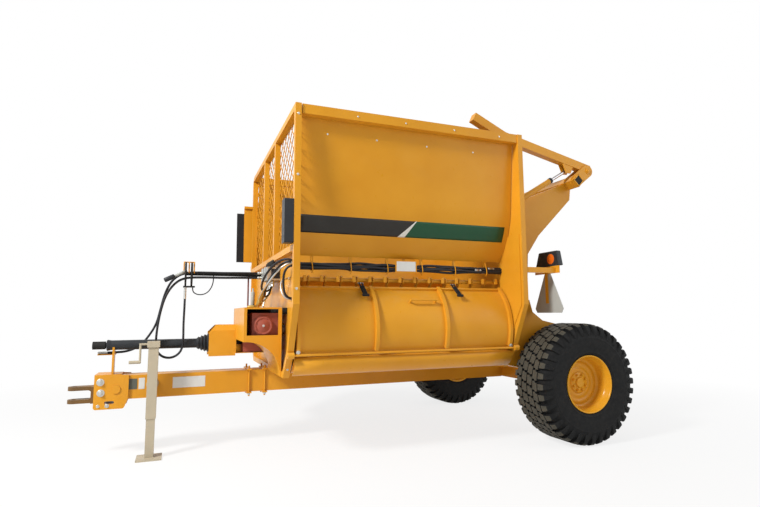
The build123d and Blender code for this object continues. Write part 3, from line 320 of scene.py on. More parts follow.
def buildFloor(look):
    half = look["floorSize"] / 2
    mesh = bpy.data.meshes.new("floor")
    corners = [(-half, -half, 0), (half, -half, 0), (half, half, 0), (-half, half, 0)]
    mesh.from_pydata(corners, [], [(0, 1, 2, 3)])
    floor = bpy.data.objects.new("floor", mesh)
    scene.collection.objects.link(floor)
    material, tree, shader = startMaterial("floorPaper")
    feed(tree, shader, {"Base Color": look["floorColour"], "Roughness": look["floorRoughness"],
                        "Specular IOR Level": look["floorShine"]})
    distance = addNode(tree, "VectorMath", {0: placeSocket(tree)}, "Value", operation="LENGTH")
    white = rampSocket(tree, distance, *look["fade"], look["floorWhite"], 1.0)
    mask = multiply(tree, seenDirectly(tree), white)
    glow = addNode(tree, "Emission", {}, "Emission")
    mixed = addNode(tree, "MixShader", {0: mask, 1: shader.outputs["BSDF"], 2: glow}, "Shader")
    feed(tree, tree.nodes["Material Output"], {"Surface": mixed})
    mesh.materials.append(material)


def buildSky(look):
    world = bpy.data.worlds.new("studio")
    scene.world = world
    world.use_nodes = True
    tree = world.node_tree
    strength = rampSocket(tree, seenDirectly(tree), 0, 1, look["skyLight"], look["skySeen"])
    feed(tree, tree.nodes["Background"], {"Color": look["skyColour"], "Strength": strength})
    for name, (watts, size, place, target) in look["lights"].items():
        data = bpy.data.lights.new(name, "AREA")
        data.energy = watts
        data.shape = "DISK"
        data.size = size
        lamp = bpy.data.objects.new(name, data)
        lamp.location = place
        lamp.rotation_euler = (Vector(target) - Vector(place)).to_track_quat("-Z", "Y").to_euler()
        scene.collection.objects.link(lamp)


buildFloor(stageLook)
buildSky(stageLook)
print("camera and stage ready")


# mesh helpers

softAngle = math.radians(35)


def dress(piece, slot, *materials, body="frame", replaced=None):
    # gives a piece its finishes and the body it moves with, and hides the node it replaces
    scene.collection.objects.link(piece)
    for material in materials:
        piece.data.materials.append(material)
    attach(piece, body)
    if replaced:
        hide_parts(replaced)


def meshPiece(name, shape, slot, *materials, body="frame", replaced=None, place=(0, 0, 0), soften=0, segments=2,
              sheet=0, faceOut=True):
    # turns a shape into a piece, with soft edges or the thickness of its sheet
    mesh = bpy.data.meshes.new(name)
    if faceOut:
        bmesh.ops.recalc_face_normals(shape, faces=shape.faces)
    shape.to_mesh(mesh)
    shape.free()
    piece = bpy.data.objects.new(name, mesh)
    piece.location = place
    if soften:
        bevel = piece.modifiers.new("soften", "BEVEL")
        bevel.width = soften
        bevel.segments = segments
        bevel.limit_method = "ANGLE"
        bevel.angle_limit = softAngle
    if sheet:
        layer = piece.modifiers.new("sheet", "SOLIDIFY")
        layer.thickness = sheet
        layer.offset = 0
    dress(piece, slot, *materials, body=body, replaced=replaced)


def bridge(shape, first, second, material=0, smooth=False):
    # a closed belt of faces between two loops of the same count
    faces = []
    for index in range(len(first)):
        after = (index + 1) % len(first)
        face = shape.faces.new((first[index], first[after], second[after], second[index]))
        face.material_index = material
        face.smooth = smooth
        faces.append(face)
    return faces


def addRound(shape, place, direction, rings, sides, material=0, phase=0.0, smooth=True):
    # a turned shape from radius and distance along a direction, closed at both ends
    turn = Vector(direction).to_track_quat("Z", "Y").to_matrix().to_4x4()
    spot = Matrix.Translation(place) @ turn
    angles = [phase + 2 * math.pi * step / sides for step in range(sides)]
    loops = [[shape.verts.new(spot @ Vector((radius * math.cos(angle), radius * math.sin(angle), along)))
              for angle in angles] for radius, along in rings]
    for low, high in zip(loops, loops[1:]):
        bridge(shape, low, high, material, smooth)
    shape.faces.new(loops[-1]).material_index = material
    shape.faces.new(list(reversed(loops[0]))).material_index = material


hexLook = {
    "sink": 0.0005, "turn": 0.35, "chamfer": (0.88, 0.82), "washerSink": 0.001, "washerHeight": 0.14,
    "washerEdge": (0.96, 0.7), "washerSides": 20, "studHeights": (1.35, 1.5), "studEdge": 0.82,
    "studSides": 12,
}


def addHex(shape, place, normal, size, height, stud=0.0, washer=0.0, material=0, look=hexLook):
    # a hexagon head or nut with chamfered corners, on a washer, with its stud's end
    lift = 0.0
    if washer:
        lift = size * look["washerHeight"]
        narrow, low = look["washerEdge"]
        rings = [(washer, -look["washerSink"]), (washer, lift * low), (washer * narrow, lift)]
        addRound(shape, place, normal, rings, look["washerSides"], material, smooth=False)
    narrow, low = look["chamfer"]
    rings = [(size, lift - look["sink"]), (size, lift + height * low), (size * narrow, lift + height)]
    addRound(shape, place, normal, rings, 6, material, look["turn"], False)
    if stud:
        straight, end = look["studHeights"]
        rings = [(stud, lift), (stud, lift + height * straight), (stud * look["studEdge"], lift + height * end)]
        addRound(shape, place, normal, rings, look["studSides"], material, smooth=False)


def addSlab(shape, centre, size, material=0, turn=None):
    # a box of its own mesh, turned about its middle and bevelled later
    spot = Matrix.Translation(centre) @ (turn.to_4x4() if turn else Matrix.Identity(4))
    made = bmesh.ops.create_cube(shape, size=1.0, matrix=spot @ Matrix.Diagonal((*size, 1)))
    for vert in made["verts"]:
        for face in vert.link_faces:
            face.material_index = material


def slabPiece(name, slabs, slot, materials, soften, body="frame", replaced=None):
    # each slab: centre, size, and where they differ finish number and turn
    shape = bmesh.new()
    for slab in slabs:
        addSlab(shape, *slab)
    meshPiece(name, shape, slot, *materials, body=body, replaced=replaced, soften=soften)


def curvePiece(name, routes, radius, slot, material, order=4, roundness=4, steps=6, replaced=None):
    # routes are lists of points; each becomes one smooth spline
    curve = bpy.data.curves.new(name, "CURVE")
    curve.dimensions = "3D"
    curve.bevel_depth = radius
    curve.bevel_resolution = roundness
    curve.resolution_u = steps
    curve.use_fill_caps = True
    for route in routes:
        line = curve.splines.new("NURBS")
        line.points.add(len(route) - 1)
        for target, place in zip(line.points, route):
            target.co = (*place, 1)
        line.order_u = min(order, len(route))
        line.use_endpoint_u = True
    piece = bpy.data.objects.new(name, curve)
    dress(piece, slot, material, replaced=replaced)
    return piece


# places on the solids, found by looking along a line at one node

surfaceTrees = {}
sideStart = 2.5


def surfaceTree(node):
    if node not in surfaceTrees:
        shown = frame["nodes"][node]
        places = [shown.matrix_world @ vert.co for vert in shown.data.vertices]
        faces = [tuple(face.vertices) for face in shown.data.polygons]
        surfaceTrees[node] = BVHTree.FromPolygons(places, faces)
    return surfaceTrees[node]


def faceOf(node, start, direction):
    hit, normal, index, distance = surfaceTree(node).ray_cast(Vector(start), Vector(direction).normalized())
    if hit is None:
        raise RuntimeError(f"nothing of {node} lies along the line from {tuple(start)}")
    if normal.dot(Vector(direction)) > 0:
        normal = -normal
    return hit, normal


def sideFace(node, x, z, side=1):
    # the outer face at a distance ahead of the axle and a height, on the left with 1 and the right with -1
    return faceOf(node, ahead(x, side * sideStart, z), (0, -side, 0))


# free hoses and the lead, on the routes of the part's source

supportY, supportZ = 0.13, 1.575
hoseLook = {
    "diameter": 0.019,
    "lengths": {"far": 1.74, "near": 2.12},
    # columns: ahead of the axle, side of the first and second hose from the support rod, height from it
    "far": metres([
        (2790, 22, -22, 22), (2960, 22, -22, 22), (3140, 22, -22, 17), (3320, 22, -22, 19), (3490, 22, -22, 14),
        (3585, -4, -44, -50), (3640, -42, -80, -165), (3674, -82, -114, -312), (3704, -112, -146, -455),
        (3772, -130, -163, -572), (3840, -134, -168, -652), (3930, -134, -170, -690), (4020, -132, -168, -697),
        (4090, -132, -168, -697)]),
    "near": metres([
        (2790, 22, -22, -22), (2960, 22, -22, -22), (3140, 22, -22, -27), (3320, 22, -22, -25),
        (3488, 22, -22, -32), (3575, 22, -16, -95), (3636, 21, -9, -200), (3670, 20, -5, -330),
        (3690, 20, -4, -465), (3697, 20, -4, -560), (3698, 20, -4, -640), (3683, 20, -4, -696),
        (3642, 20, -4, -737), (3586, 20, -4, -752), (3530, 20, -4, -737), (3489, 20, -4, -696),
        (3474, 20, -4, -640), (3472, 20, -5, -560), (3475, 21, -9, -470), (3474, 22, -18, -385),
        (3472, 22, -22, -295), (3472, 22, -22, -225)]),
    # columns: order, roundness, steps
    "curve": (3, 5, 10),
}
leadLook = {
    "diameter": 0.01, "length": 0.34,
    # columns: ahead of the axle, side from the support rod, height from it
    "route": metres([
        (3408, -20, -120), (3408, -20, -150), (3387, -15, -176), (3350, -10, -187), (3310, -6, -183),
        (3275, -3, -163), (3250, -1, -130), (3234, 0, -90), (3228, 0, -48), (3228, 0, -11)]),
}


def layCord(name, places, diameter, node):
    piece = curvePiece(name, [places], diameter / 2, "black_rubber", hoseRubber, *hoseLook["curve"], node)


for kind, length in hoseLook["lengths"].items():
    for column in (1, 2):
        places = [ahead(row[0], supportY + row[column], supportZ + row[3]) for row in hoseLook[kind]]
        layCord(f"{kind}Hose{column}", places, hoseLook["diameter"], f"hose_{kind}_{column}")
leadPlaces = [ahead(x, supportY + y, supportZ + z) for x, y, z in leadLook["route"]]
layCord("lightingLead", leadPlaces, leadLook["diameter"], "cable")
print("hoses laid")


# wheels: tyres with block tread and shoulder lugs, pressed rims with nuts

tyreLook = {
    "pitches": 36, "outer": 0.55, "segments": 144,
    # columns: radius, distance from the tyre's middle, from bead to crown
    "sidewall": metres([
        (250.5, 186), (262, 193), (274, 203.5), (284, 210.5), (287, 213.5), (293, 214), (296, 212),
        (330, 219.5), (362, 223.5), (390, 224.5), (414, 223.5), (416, 225), (421, 225), (423, 222.5),
        (445, 218.5), (470, 209), (492, 196.5), (509, 180), (520, 159), (526, 125), (528, 60)]),
    # columns: radius, distance from the middle, half width along the tread, depth to the lug's root
    "lug": metres([
        (546, 146, 24, 28), (548, 150, 27, 30), (546.5, 168, 27, 34), (541, 183, 26, 36), (529, 198.5, 23, 34),
        (510, 211, 20, 30), (486, 220.5, 18, 23), (466, 224, 15, 16), (444, 224, 11, 10)]),
    "lugRoot": 0.4, "lugFlare": 0.004, "shoulder": 0.54, "shoulderInset": 0.012, "lightTreadRows": 4,
    # columns: place along the tread, distance from the middle
    "blocks": [
        metres([(-44, 5), (30, 4), (33, 34), (43, 40), (41, 69), (-30, 72), (-33, 48), (-46, 42)]),
        metres([(0, 80), (76, 77), (78, 104), (92, 110), (90, 138), (16, 140), (13, 118), (-2, 112)]),
    ],
    "blockRoot": 0.52, "blockFlare": (1.05, 1.02), "innerShift": 0.35, "soften": 0.0026,
}


def roundPoint(radius, offset, turn):
    return (radius * math.sin(turn), offset, radius * math.cos(turn))


def lathe(shape, profile, segments):
    # turns a closed outline of radius and distance along Y about the Y axis
    turns = [2 * math.pi * step / segments for step in range(segments)]
    rings = [[shape.verts.new(roundPoint(radius, y, turn)) for radius, y in profile] for turn in turns]
    for here, after in zip(rings, rings[1:] + rings[:1]):
        bridge(shape, here, after, smooth=True)


def addLug(shape, look, hand, turn):
    loops = []
    for radius, offset, half, depth in look["lug"]:
        root = max(radius - depth, look["lugRoot"])
        inward = offset - look["shoulderInset"] if radius < look["shoulder"] else offset
        top, low = half / look["outer"], (half + look["lugFlare"]) / look["outer"]
        corners = ((radius, offset, -top), (radius, offset, top), (root, inward, low), (root, inward, -low))
        loops.append([shape.verts.new(roundPoint(r, hand * y, turn + swing)) for r, y, swing in corners])
    for index, (here, after) in enumerate(zip(loops, loops[1:])):
        topFace = bridge(shape, here, after)[0]
        # the top faces of the first lug rows take the lighter tread finish: dust and painted sunlight
        topFace.material_index = 1 if index < look["lightTreadRows"] else 0
    shape.faces.new(loops[0])
    shape.faces.new(loops[-1])


def addBlock(shape, outline, look, hand, turn):
    def loop(radius, along, across):
        return [shape.verts.new(roundPoint(radius, hand * y * across, turn + hand * t * along / look["outer"]))
                for t, y in outline]

    top, root = loop(look["outer"], 1, 1), loop(look["blockRoot"], *look["blockFlare"])
    # block tops take the lighter tread finish: dust and painted sunlight
    shape.faces.new(top).material_index = 1
    shape.faces.new(root)
    bridge(shape, top, root)


def buildTyre(side, look):
    name = "left" if side > 0 else "right"
    shape = bmesh.new()
    half = look["sidewall"]
    lathe(shape, [(r, -y) for r, y in half] + [(r, y) for r, y in reversed(half)], look["segments"])
    step = math.pi / look["pitches"]
    for index in range(look["pitches"]):
        turn = 2 * step * index
        for hand, shift in ((1, step), (-1, look["innerShift"] * step)):
            addLug(shape, look, hand, turn)
            for outline in look["blocks"]:
                addBlock(shape, outline, look, hand, turn + shift)
    meshPiece(f"tyre{name.capitalize()}", shape, "tyre_rubber", tyreRubber, treadDustAndPaintedSun, body=f"wheel_{name}",
              replaced=f"tyre_{name}", place=(axleX, side * wheelY, axleZ), soften=look["soften"])


rimLook = {
    "segments": 96, "weld": 1e-6,
    # columns: radius, distance outboard of the wheel's middle
    "profile": metres([
        (40.5, -110), (93, -110), (95, -108), (95, 40), (224, 40), (230, 34), (240, 20), (240, -200),
        (244, -205), (257, -205), (260.5, -201), (260.5, -193), (250, -192), (249, 192), (260.5, 193),
        (260.5, 201), (257, 205), (252, 204.5), (248, 200), (246, 190), (244, 180), (240, 174), (238, 150),
        (232, 143), (229, 133), (228.5, 80), (226, 68), (220, 61), (215, 56), (205, 52.5), (196, 52.5),
        (188, 57), (178, 60), (168, 60), (160, 56), (152, 52.5), (140, 52.5), (132, 56), (122, 57.5), (112, 56),
        (105, 52.5), (97, 52.5), (94, 62), (90, 65), (56, 66), (48, 68), (46, 78), (43, 83), (36, 85),
        (33, 83.5), (14, 84.2), (0, 84.5), (0, 56), (40.5, 55)]),
    "nuts": 8,
    # columns: radius of the circle, distance outboard, size, height, stud
    "nut": (0.073, 0.0655, 0.0125, 0.012, 0.007),
    "valve": (0.206, 0.0525, 0.007, 0.012, 0.004), "valveTurn": 0.6,
}


def buildRim(side, look):
    name = "left" if side > 0 else "right"
    shape, nuts = bmesh.new(), bmesh.new()
    lathe(shape, [(r, side * y) for r, y in look["profile"]], look["segments"])
    bmesh.ops.remove_doubles(shape, verts=shape.verts, dist=look["weld"])
    rows = [(2 * math.pi * (index + 0.5) / look["nuts"], look["nut"]) for index in range(look["nuts"])]
    for turn, (circle, out, size, height, stud) in rows + [(look["valveTurn"], look["valve"])]:
        addHex(nuts, roundPoint(circle, side * out, turn), (0, side, 0), size, height, stud)
    for kind, mesh, replaced in (("rim", shape, f"rim_{name}"), ("wheelNuts", nuts, None)):
        meshPiece(f"{kind}{name.capitalize()}", mesh, "rim_paint", rimPaintWithPaintedSun, body=f"wheel_{name}",
                  replaced=replaced, place=(axleX, side * wheelY, axleZ))


for side in (1, -1):
    buildTyre(side, tyreLook)
    buildRim(side, rimLook)
print("wheels built")


# coloured band across the left wall: black in front, a white slash, green behind

bandLook = {
    "low": 1.877, "high": 2.017, "front": 2.672, "rear": 0.64, "margin": 0.004, "slashLow": (1.739, 1.67),
    "slashHigh": (1.58, 1.572), "rows": 8, "columns": (12, 2, 12), "lift": 0.0004, "film": 0.0006,
}


def buildBand(look):
    shape = bmesh.new()
    wallLow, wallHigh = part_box("wall_left")
    front = min(look["front"], wallHigh[0] - axleX - look["margin"])
    rear = max(look["rear"], wallLow[0] - axleX + look["margin"])
    columnFinishes = [finish for finish, count in enumerate(look["columns"]) for step in range(count)]
    grid = []
    for row in range(look["rows"] + 1):
        part = row / look["rows"]
        height = look["low"] + part * (look["high"] - look["low"])
        slash = [low + part * (high - low) for low, high in zip(look["slashLow"], look["slashHigh"])]
        edges = [front, *slash, rear]
        spans = zip(edges, edges[1:], look["columns"])
        stops = [start + (end - start) * step / count for start, end, count in spans for step in range(count)]
        stops.append(rear)
        hits = [sideFace("wall_left", x, height) for x in stops]
        grid.append([shape.verts.new(hit + normal * look["lift"]) for hit, normal in hits])
    for low, high in zip(grid, grid[1:]):
        for column, finish in enumerate(columnFinishes):
            face = shape.faces.new((low[column], low[column + 1], high[column + 1], high[column]))
            face.material_index = finish
            face.smooth = True
    finishes = (bandBlack, bandWhite, bandGreen)
    meshPiece("wallBand", shape, "body_paint", *finishes, sheet=look["film"], faceOut=False)


buildBand(bandLook)
print("wall band laid")


# blank plates on the drawbar's left side and on the wall's bracket

plateLook = {
    # columns: rear end, front end, low, high, finish number
    "bar": [(3.834, 3.917, 0.564, 0.654, 1), (3.774, 3.822, 0.564, 0.658, 0), (3.271, 3.546, 0.556, 0.652, 0)],
    "barThick": 0.0016, "barSoften": 0.0005, "wallAt": (1.625, 1.624), "wallSize": (0.186, 0.002, 0.088),
    "wallLift": 0.001, "wallSoften": 0.0006,
}


def buildPlates(look):
    slabs = []
    thick = look["barThick"]
    for rear, front, low, high, finish in look["bar"]:
        x, z = (rear + front) / 2, (low + high) / 2
        hit, normal = sideFace("drawbar", x, z)
        slabs.append((ahead(x, hit[1] + thick / 2, z), (front - rear, thick, high - low), finish))
    slabPiece("drawbarPlates", slabs, "body_paint", [plateWhite, gaugePlate], look["barSoften"])
    hit, normal = sideFace("wall_left", *look["wallAt"])
    slabs = [(hit + normal * look["wallLift"], look["wallSize"])]
    slabPiece("wallPlate", slabs, "body_paint", [plateWhite], look["wallSoften"])


# a square socket in the drawbar, with its raised frame and a near-black floor that paints the shade in the hole

socketLook = {"at": (3.703, 0.606), "wide": 0.044, "floor": 0.003, "floorShare": 0.78, "rim": 0.008,
              "rimShares": (1.16, 0.16), "soften": 0.0015}


def buildSocket(look):
    hit, normal = sideFace("drawbar", *look["at"])
    wide, floor, rim = look["wide"], look["floor"], look["rim"]
    inner = wide * look["floorShare"]
    long, thin = [wide * share for share in look["rimShares"]]
    # the floor takes finish 1, near-black: painted shade in the socket
    slabs = [(hit + Vector((0, floor / 2, 0)), (inner, floor, inner), 1)]
    for way in (wide / 2, -wide / 2):
        slabs.append((hit + Vector((0, floor, way)), (long, rim, thin)))
        slabs.append((hit + Vector((way, floor, 0)), (thin, rim, long)))
    slabPiece("drawbarSocket", slabs, "body_paint", [bodyPaint, darkSteelAndPaintedShade], look["soften"])


# bolts and nuts, each set on the face it is seen on

boltLook = {
    # columns: size, height, stud, washer
    "heads": {"large": (0.021, 0.014, 0.0105, 0.03045), "middle": (0.012, 0.008, 0.006, 0.0174),
              "small": (0.009, 0.006, 0.0045, 0.01305), "door": (0.012, 0.008, 0.0, 0.018),
              "post": (0.007, 0.005, 0.0, 0.0105), "rubber": (0.01, 0.007, 0.0, 0.016),
              "rail": (0.006, 0.004, 0.0, 0.008), "clamp": (0.013, 0.012, 0.0, 0.02)},
    "bodies": {"frameBolts": "frame", "coverFixings": "cover", "frameFixings": "frame",
               "deflectorFixings": "deflector", "railBolts": "frame"},
    # columns: piece, node, sides, head, places with distance ahead and height
    "rows": [("frameBolts", "hitch_head", (1, -1), "large", [(4.118, 0.638), (4.112, 0.548)]),
             ("frameBolts", "hitch_head", (1,), "small", [(4.128, 0.44)]),
             ("frameBolts", "hitch_head", (1,), "middle", [(4.06, 0.44)]),
             ("coverFixings", "drum_cover", (1,), "door", [(2.627, 0.9), (0.613, 0.9)]),
             ("frameFixings", "front_frame", (1,), "post", [(2.685, z) for z in (2.8, 2.3, 1.4, 0.76)]),
             ("deflectorFixings", "deflector_rubber", (-1,), "rubber",
              [(0.7 + 0.3 * step, z) for step in range(8) for z in (1.885, 2.415)]),
             ("railBolts", "wall_left", (1,), "rail", [(x, 2.69) for x in (2.42, 1.98, 1.5, 1.02)]),
             ("railBolts", "top_rails", (1,), "rail", [(x, 2.845) for x in (2.18, 1.74, 1.26, 0.78)])],
    # columns: distance ahead, to the left
    "clamps": [(2.735, 0.11), (2.735, -0.11), (2.88, 0.11), (2.88, -0.11)],
    "clampLift": 0.026,
}


def buildBolts(look):
    shapes = {name: bmesh.new() for name in look["bodies"]}
    for name, node, sides, head, places in look["rows"]:
        for side in sides:
            for x, z in places:
                addHex(shapes[name], *sideFace(node, x, z, side), *look["heads"][head])
    for x, y in look["clamps"]:
        hit, normal = faceOf("beam_clamps", ahead(x, y, 0), (0, 0, 1))
        spot = hit + Vector((0, 0, look["clampLift"]))
        addHex(shapes["frameBolts"], spot, (0, 0, -1), *look["heads"]["clamp"])
    for name, body in look["bodies"].items():
        meshPiece(name, shapes[name], "grey_steel", zincSteel, body=body)


buildPlates(plateLook)
buildSocket(socketLook)
buildBolts(boltLook)
print("plates and bolts set")


# hoses along the left wall: a loose bundle under wire clips

bundleLook = {
    # columns: out from the wall, height in the bundle, wave height, wave phase
    "hoses": [(0.01, 0.008, 0.009, 0.0), (0.012, 0.03, 0.01, 0.9), (0.011, 0.052, 0.01, 2.1),
              (0.027, 0.02, 0.009, 3.0), (0.026, 0.042, 0.012, 4.2)],
    "radius": 0.0115, "points": 22, "endEase": 0.4,
    # columns: share of the wave height, share of the phase, radians along the hose
    "waves": [(1.0, 1.0, 17.0), (0.5, 2.0, 41.0), (0.3, 1.7, 23.0)],
    "clips": 6, "clipWire": 0.0045, "clipLow": 0.022,
    # columns: ahead, out from the wall, up
    "clip": [(0.0, -0.002, 0.0), (0.0, 0.014, -0.004), (0.0, 0.04, 0.012), (0.004, 0.044, 0.05),
             (0.01, 0.04, 0.096), (0.016, 0.034, 0.125)],
}


def buildBundle(look):
    low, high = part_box("side_hoses")
    long = high[0] - low[0]
    routes = []
    for out, up, wave, phase in look["hoses"]:
        route = []
        for step in range(look["points"]):
            part = step / (look["points"] - 1)
            ease = math.sin(math.pi * part) ** look["endEase"]
            bob, ripple, sway = [share * wave * ease * math.sin(shift * phase + part * swing)
                                 for share, shift, swing in look["waves"]]
            route.append(Vector((low[0] + part * long, low[1] + out + abs(sway), low[2] + up + bob + ripple)))
        routes.append(route)
    curvePiece("wallHoses", routes, look["radius"], "black_rubber", hoseRubber, replaced="side_hoses")
    clips = []
    for index in range(look["clips"]):
        foot = Vector((low[0] + (index + 0.5) * long / look["clips"], low[1], low[2] - look["clipLow"]))
        clips.append([foot + Vector(step) for step in look["clip"]])
    curvePiece("hoseClips", clips, look["clipWire"], "body_paint", bodyPaint)


buildBundle(bundleLook)
print("wall hoses laid")


# fingers of the slug bars under the wall hoses

fingerLook = {
    "count": 14, "front": 2.541, "rear": 0.64, "out": 0.897, "middle": 1.505,
    "finger": (0.03, 0.012, 0.054), "stub": (0.018, 0.03, 0.016), "stubAt": (0.0, -0.012, 0.01),
    "soften": 0.004,
}


def buildFingers(look):
    slabs = []
    for index in range(look["count"]):
        part = index / (look["count"] - 1)
        middle = ahead(look["front"] + part * (look["rear"] - look["front"]), look["out"], look["middle"])
        slabs.append((middle, look["finger"]))
        slabs.append((middle + Vector(look["stubAt"]), look["stub"]))
    slabPiece("barFingers", slabs, "body_paint", [bodyPaint], look["soften"])


# rubber latches of the drum cover: a fork above, a ribbed strap and a grip

latchLook = {
    "angle": 52.0, "radius": 0.468, "inset": 0.046,
    # columns: across, out, along, size, finish number
    "slabs": [(0.0, 0.006, -0.06, (0.04, 0.012, 0.13), 0), (-0.0135, 0.006, 0.026, (0.011, 0.011, 0.05), 0),
              (0.0135, 0.006, 0.026, (0.011, 0.011, 0.05), 0), (0.0, 0.006, -0.131, (0.062, 0.015, 0.02), 0),
              (0.0, 0.004, 0.046, (0.054, 0.012, 0.01), 1)],
    "ribs": 9, "rib": (0.0288, 0.003, 0.0045), "ribOut": 0.0125, "ribFirst": -0.01, "ribStep": 0.0125,
    "soften": 0.003,
}


def buildLatches(look):
    low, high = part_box("cover_latches")
    rotorLow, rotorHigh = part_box("rotor")
    middleY, middleZ = (rotorLow[1] + rotorHigh[1]) / 2, (rotorLow[2] + rotorHigh[2]) / 2
    turn = Matrix.Rotation(math.radians(look["angle"]), 3, "X")
    ribs = [(0.0, look["ribOut"], look["ribFirst"] - look["ribStep"] * rib, look["rib"], 0)
            for rib in range(look["ribs"])]
    slabs = []
    for x in (low[0] + look["inset"], high[0] - look["inset"]):
        for across, out, along, size, finish in look["slabs"] + ribs:
            spot = Vector((x, middleY, middleZ)) + turn @ Vector((across, look["radius"] + out, along))
            slabs.append((spot, size, finish, turn))
    slabPiece("coverLatches", slabs, "black_rubber", [blackRubber, zincSteel], look["soften"], "cover",
              "cover_latches")


# rear lamps: tapered housings on small feet, an amber lens ahead, an amber and a red one behind

lampLook = {
    "half": 0.175, "inset": 0.004,
    # columns: outward, up
    "outline": [(-0.172, 0.002), (0.172, 0.002), (0.142, 0.146), (-0.118, 0.146)],
    "soften": 0.01, "segments": 3,
    # depth, width and height of the foot between the arm's edge and the housing
    "foot": (0.03, 0.12, 0.016),
    "footLift": 0.004, "footSoften": 0.0015, "armEdge": 0.003, "armAbove": 0.1,
    # columns: direction ahead, place outward, finish number
    "lenses": [(1, 0.055, 0), (-1, 0.075, 0), (-1, -0.06, 1)],
    "lens": 0.05, "lensUp": 0.07, "lensSink": 0.005, "lensRoot": 0.004, "lensSides": 32, "prisms": 6,
    "prismShrink": 0.14, "prismRise": 0.0007, "prismWide": 0.003, "prismLevels": (0.001, 0.0022),
}


def lensRings(look):
    bottom, top = look["prismLevels"]
    rings = [(look["lens"], -look["lensRoot"])]
    for step in range(look["prisms"]):
        radius, rise = look["lens"] * (1 - look["prismShrink"] * step), look["prismRise"] * step
        rings += [(radius, bottom + rise), (radius - look["prismWide"], top + rise)]
    return rings


def buildLamps(look):
    low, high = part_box("rear_lamps")
    housing, lens = bmesh.new(), bmesh.new()
    feet = []
    for side in (1, -1):
        y = side * (high[1] - look["half"])
        above = (high[0] - look["armEdge"], y, low[2] + look["armAbove"])
        edge, normal = faceOf("rear_frame", above, (0, 0, -1))
        feet.append(((high[0] - look["foot"][0] / 2, y, edge[2] + look["footLift"]), look["foot"]))
        ends = [[housing.verts.new((x, y + side * out, low[2] + up)) for out, up in look["outline"]]
                for x in (low[0] + look["inset"], high[0] - look["inset"])]
        bridge(housing, *ends)
        for end in ends:
            housing.faces.new(end)
        for way, out, finish in look["lenses"]:
            x = high[0] - look["lensSink"] if way > 0 else low[0] + look["lensSink"]
            addRound(lens, (x, y + side * out, low[2] + look["lensUp"]), (way, 0, 0), lensRings(look),
                     look["lensSides"], finish)
    meshPiece("lampHousings", housing, "black_plastic", blackPlastic, soften=look["soften"],
              segments=look["segments"], replaced="rear_lamps")
    slabPiece("lampFeet", feet, "black_plastic", [blackPlastic], look["footSoften"])
    meshPiece("lampLenses", lens, "black_plastic", amberLens, redLens)


# strap that holds the blank sign under the left lamp

strapLook = {"lift": 0.003, "at": (1.105, 1.432), "size": (0.005, 0.04, 0.285), "soften": 0.0012}


def buildStrap(look):
    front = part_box("triangle_sign")[1][0]
    slabs = [((front + look["lift"], *look["at"]), look["size"])]
    slabPiece("signStrap", slabs, "body_paint", [bodyPaint], look["soften"])


buildFingers(fingerLook)
buildLatches(latchLook)
buildLamps(lampLook)
buildStrap(strapLook)
print("latches and lamps built")


# fine expanded metal in the front screen

screenLook = {
    "cellWide": 0.14, "cellTall": 0.062, "strand": 0.0062, "deep": 0.006, "reach": 0.96, "borderWide": 0.026,
    "borderDeep": 0.007,
}


def middleAndSize(node):
    low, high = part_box(node)
    return [(a + b) / 2 for a, b in zip(low, high)], [b - a for a, b in zip(low, high)]


def buildScreen(look):
    low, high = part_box("front_screen")
    (x, midY, midZ), (depth, wide, tall) = middleAndSize("front_screen")
    deep, half = look["deep"] / 2, look["strand"] / 2
    section = ((-deep, -half), (deep, -half), (deep, half), (-deep, half))
    rows, columns = int(tall / look["cellTall"]), 2 * int(wide / look["cellWide"])
    stepZ, stepY = tall / rows, wide / columns
    shape = bmesh.new()
    for row in range(rows):
        line = []
        for column in range(columns + 1):
            up = stepZ / 2 if (row + column) % 2 else -stepZ / 2
            y, z = low[1] + column * stepY, low[2] + (row + 0.5) * stepZ + up * look["reach"]
            line.append([shape.verts.new((x + dx, y, z + dz)) for dx, dz in section])
        for here, after in zip(line, line[1:]):
            bridge(shape, here, after)
        shape.faces.new(line[0])
        shape.faces.new(line[-1])
    edge, thick = look["borderWide"], look["borderDeep"]
    for y in (low[1] + edge / 2, high[1] - edge / 2):
        addSlab(shape, (x, y, midZ), (thick, edge, tall))
    for z in (low[2] + edge / 2, high[2] - edge / 2):
        addSlab(shape, (x, midY, z), (thick, wide, edge))
    meshPiece("frontMesh", shape, "body_paint", bodyPaint, replaced="front_screen")


buildScreen(screenLook)
print("screen built")


# valves ahead of the front panel: a sectioned block with coils, sleeves and fixed lines

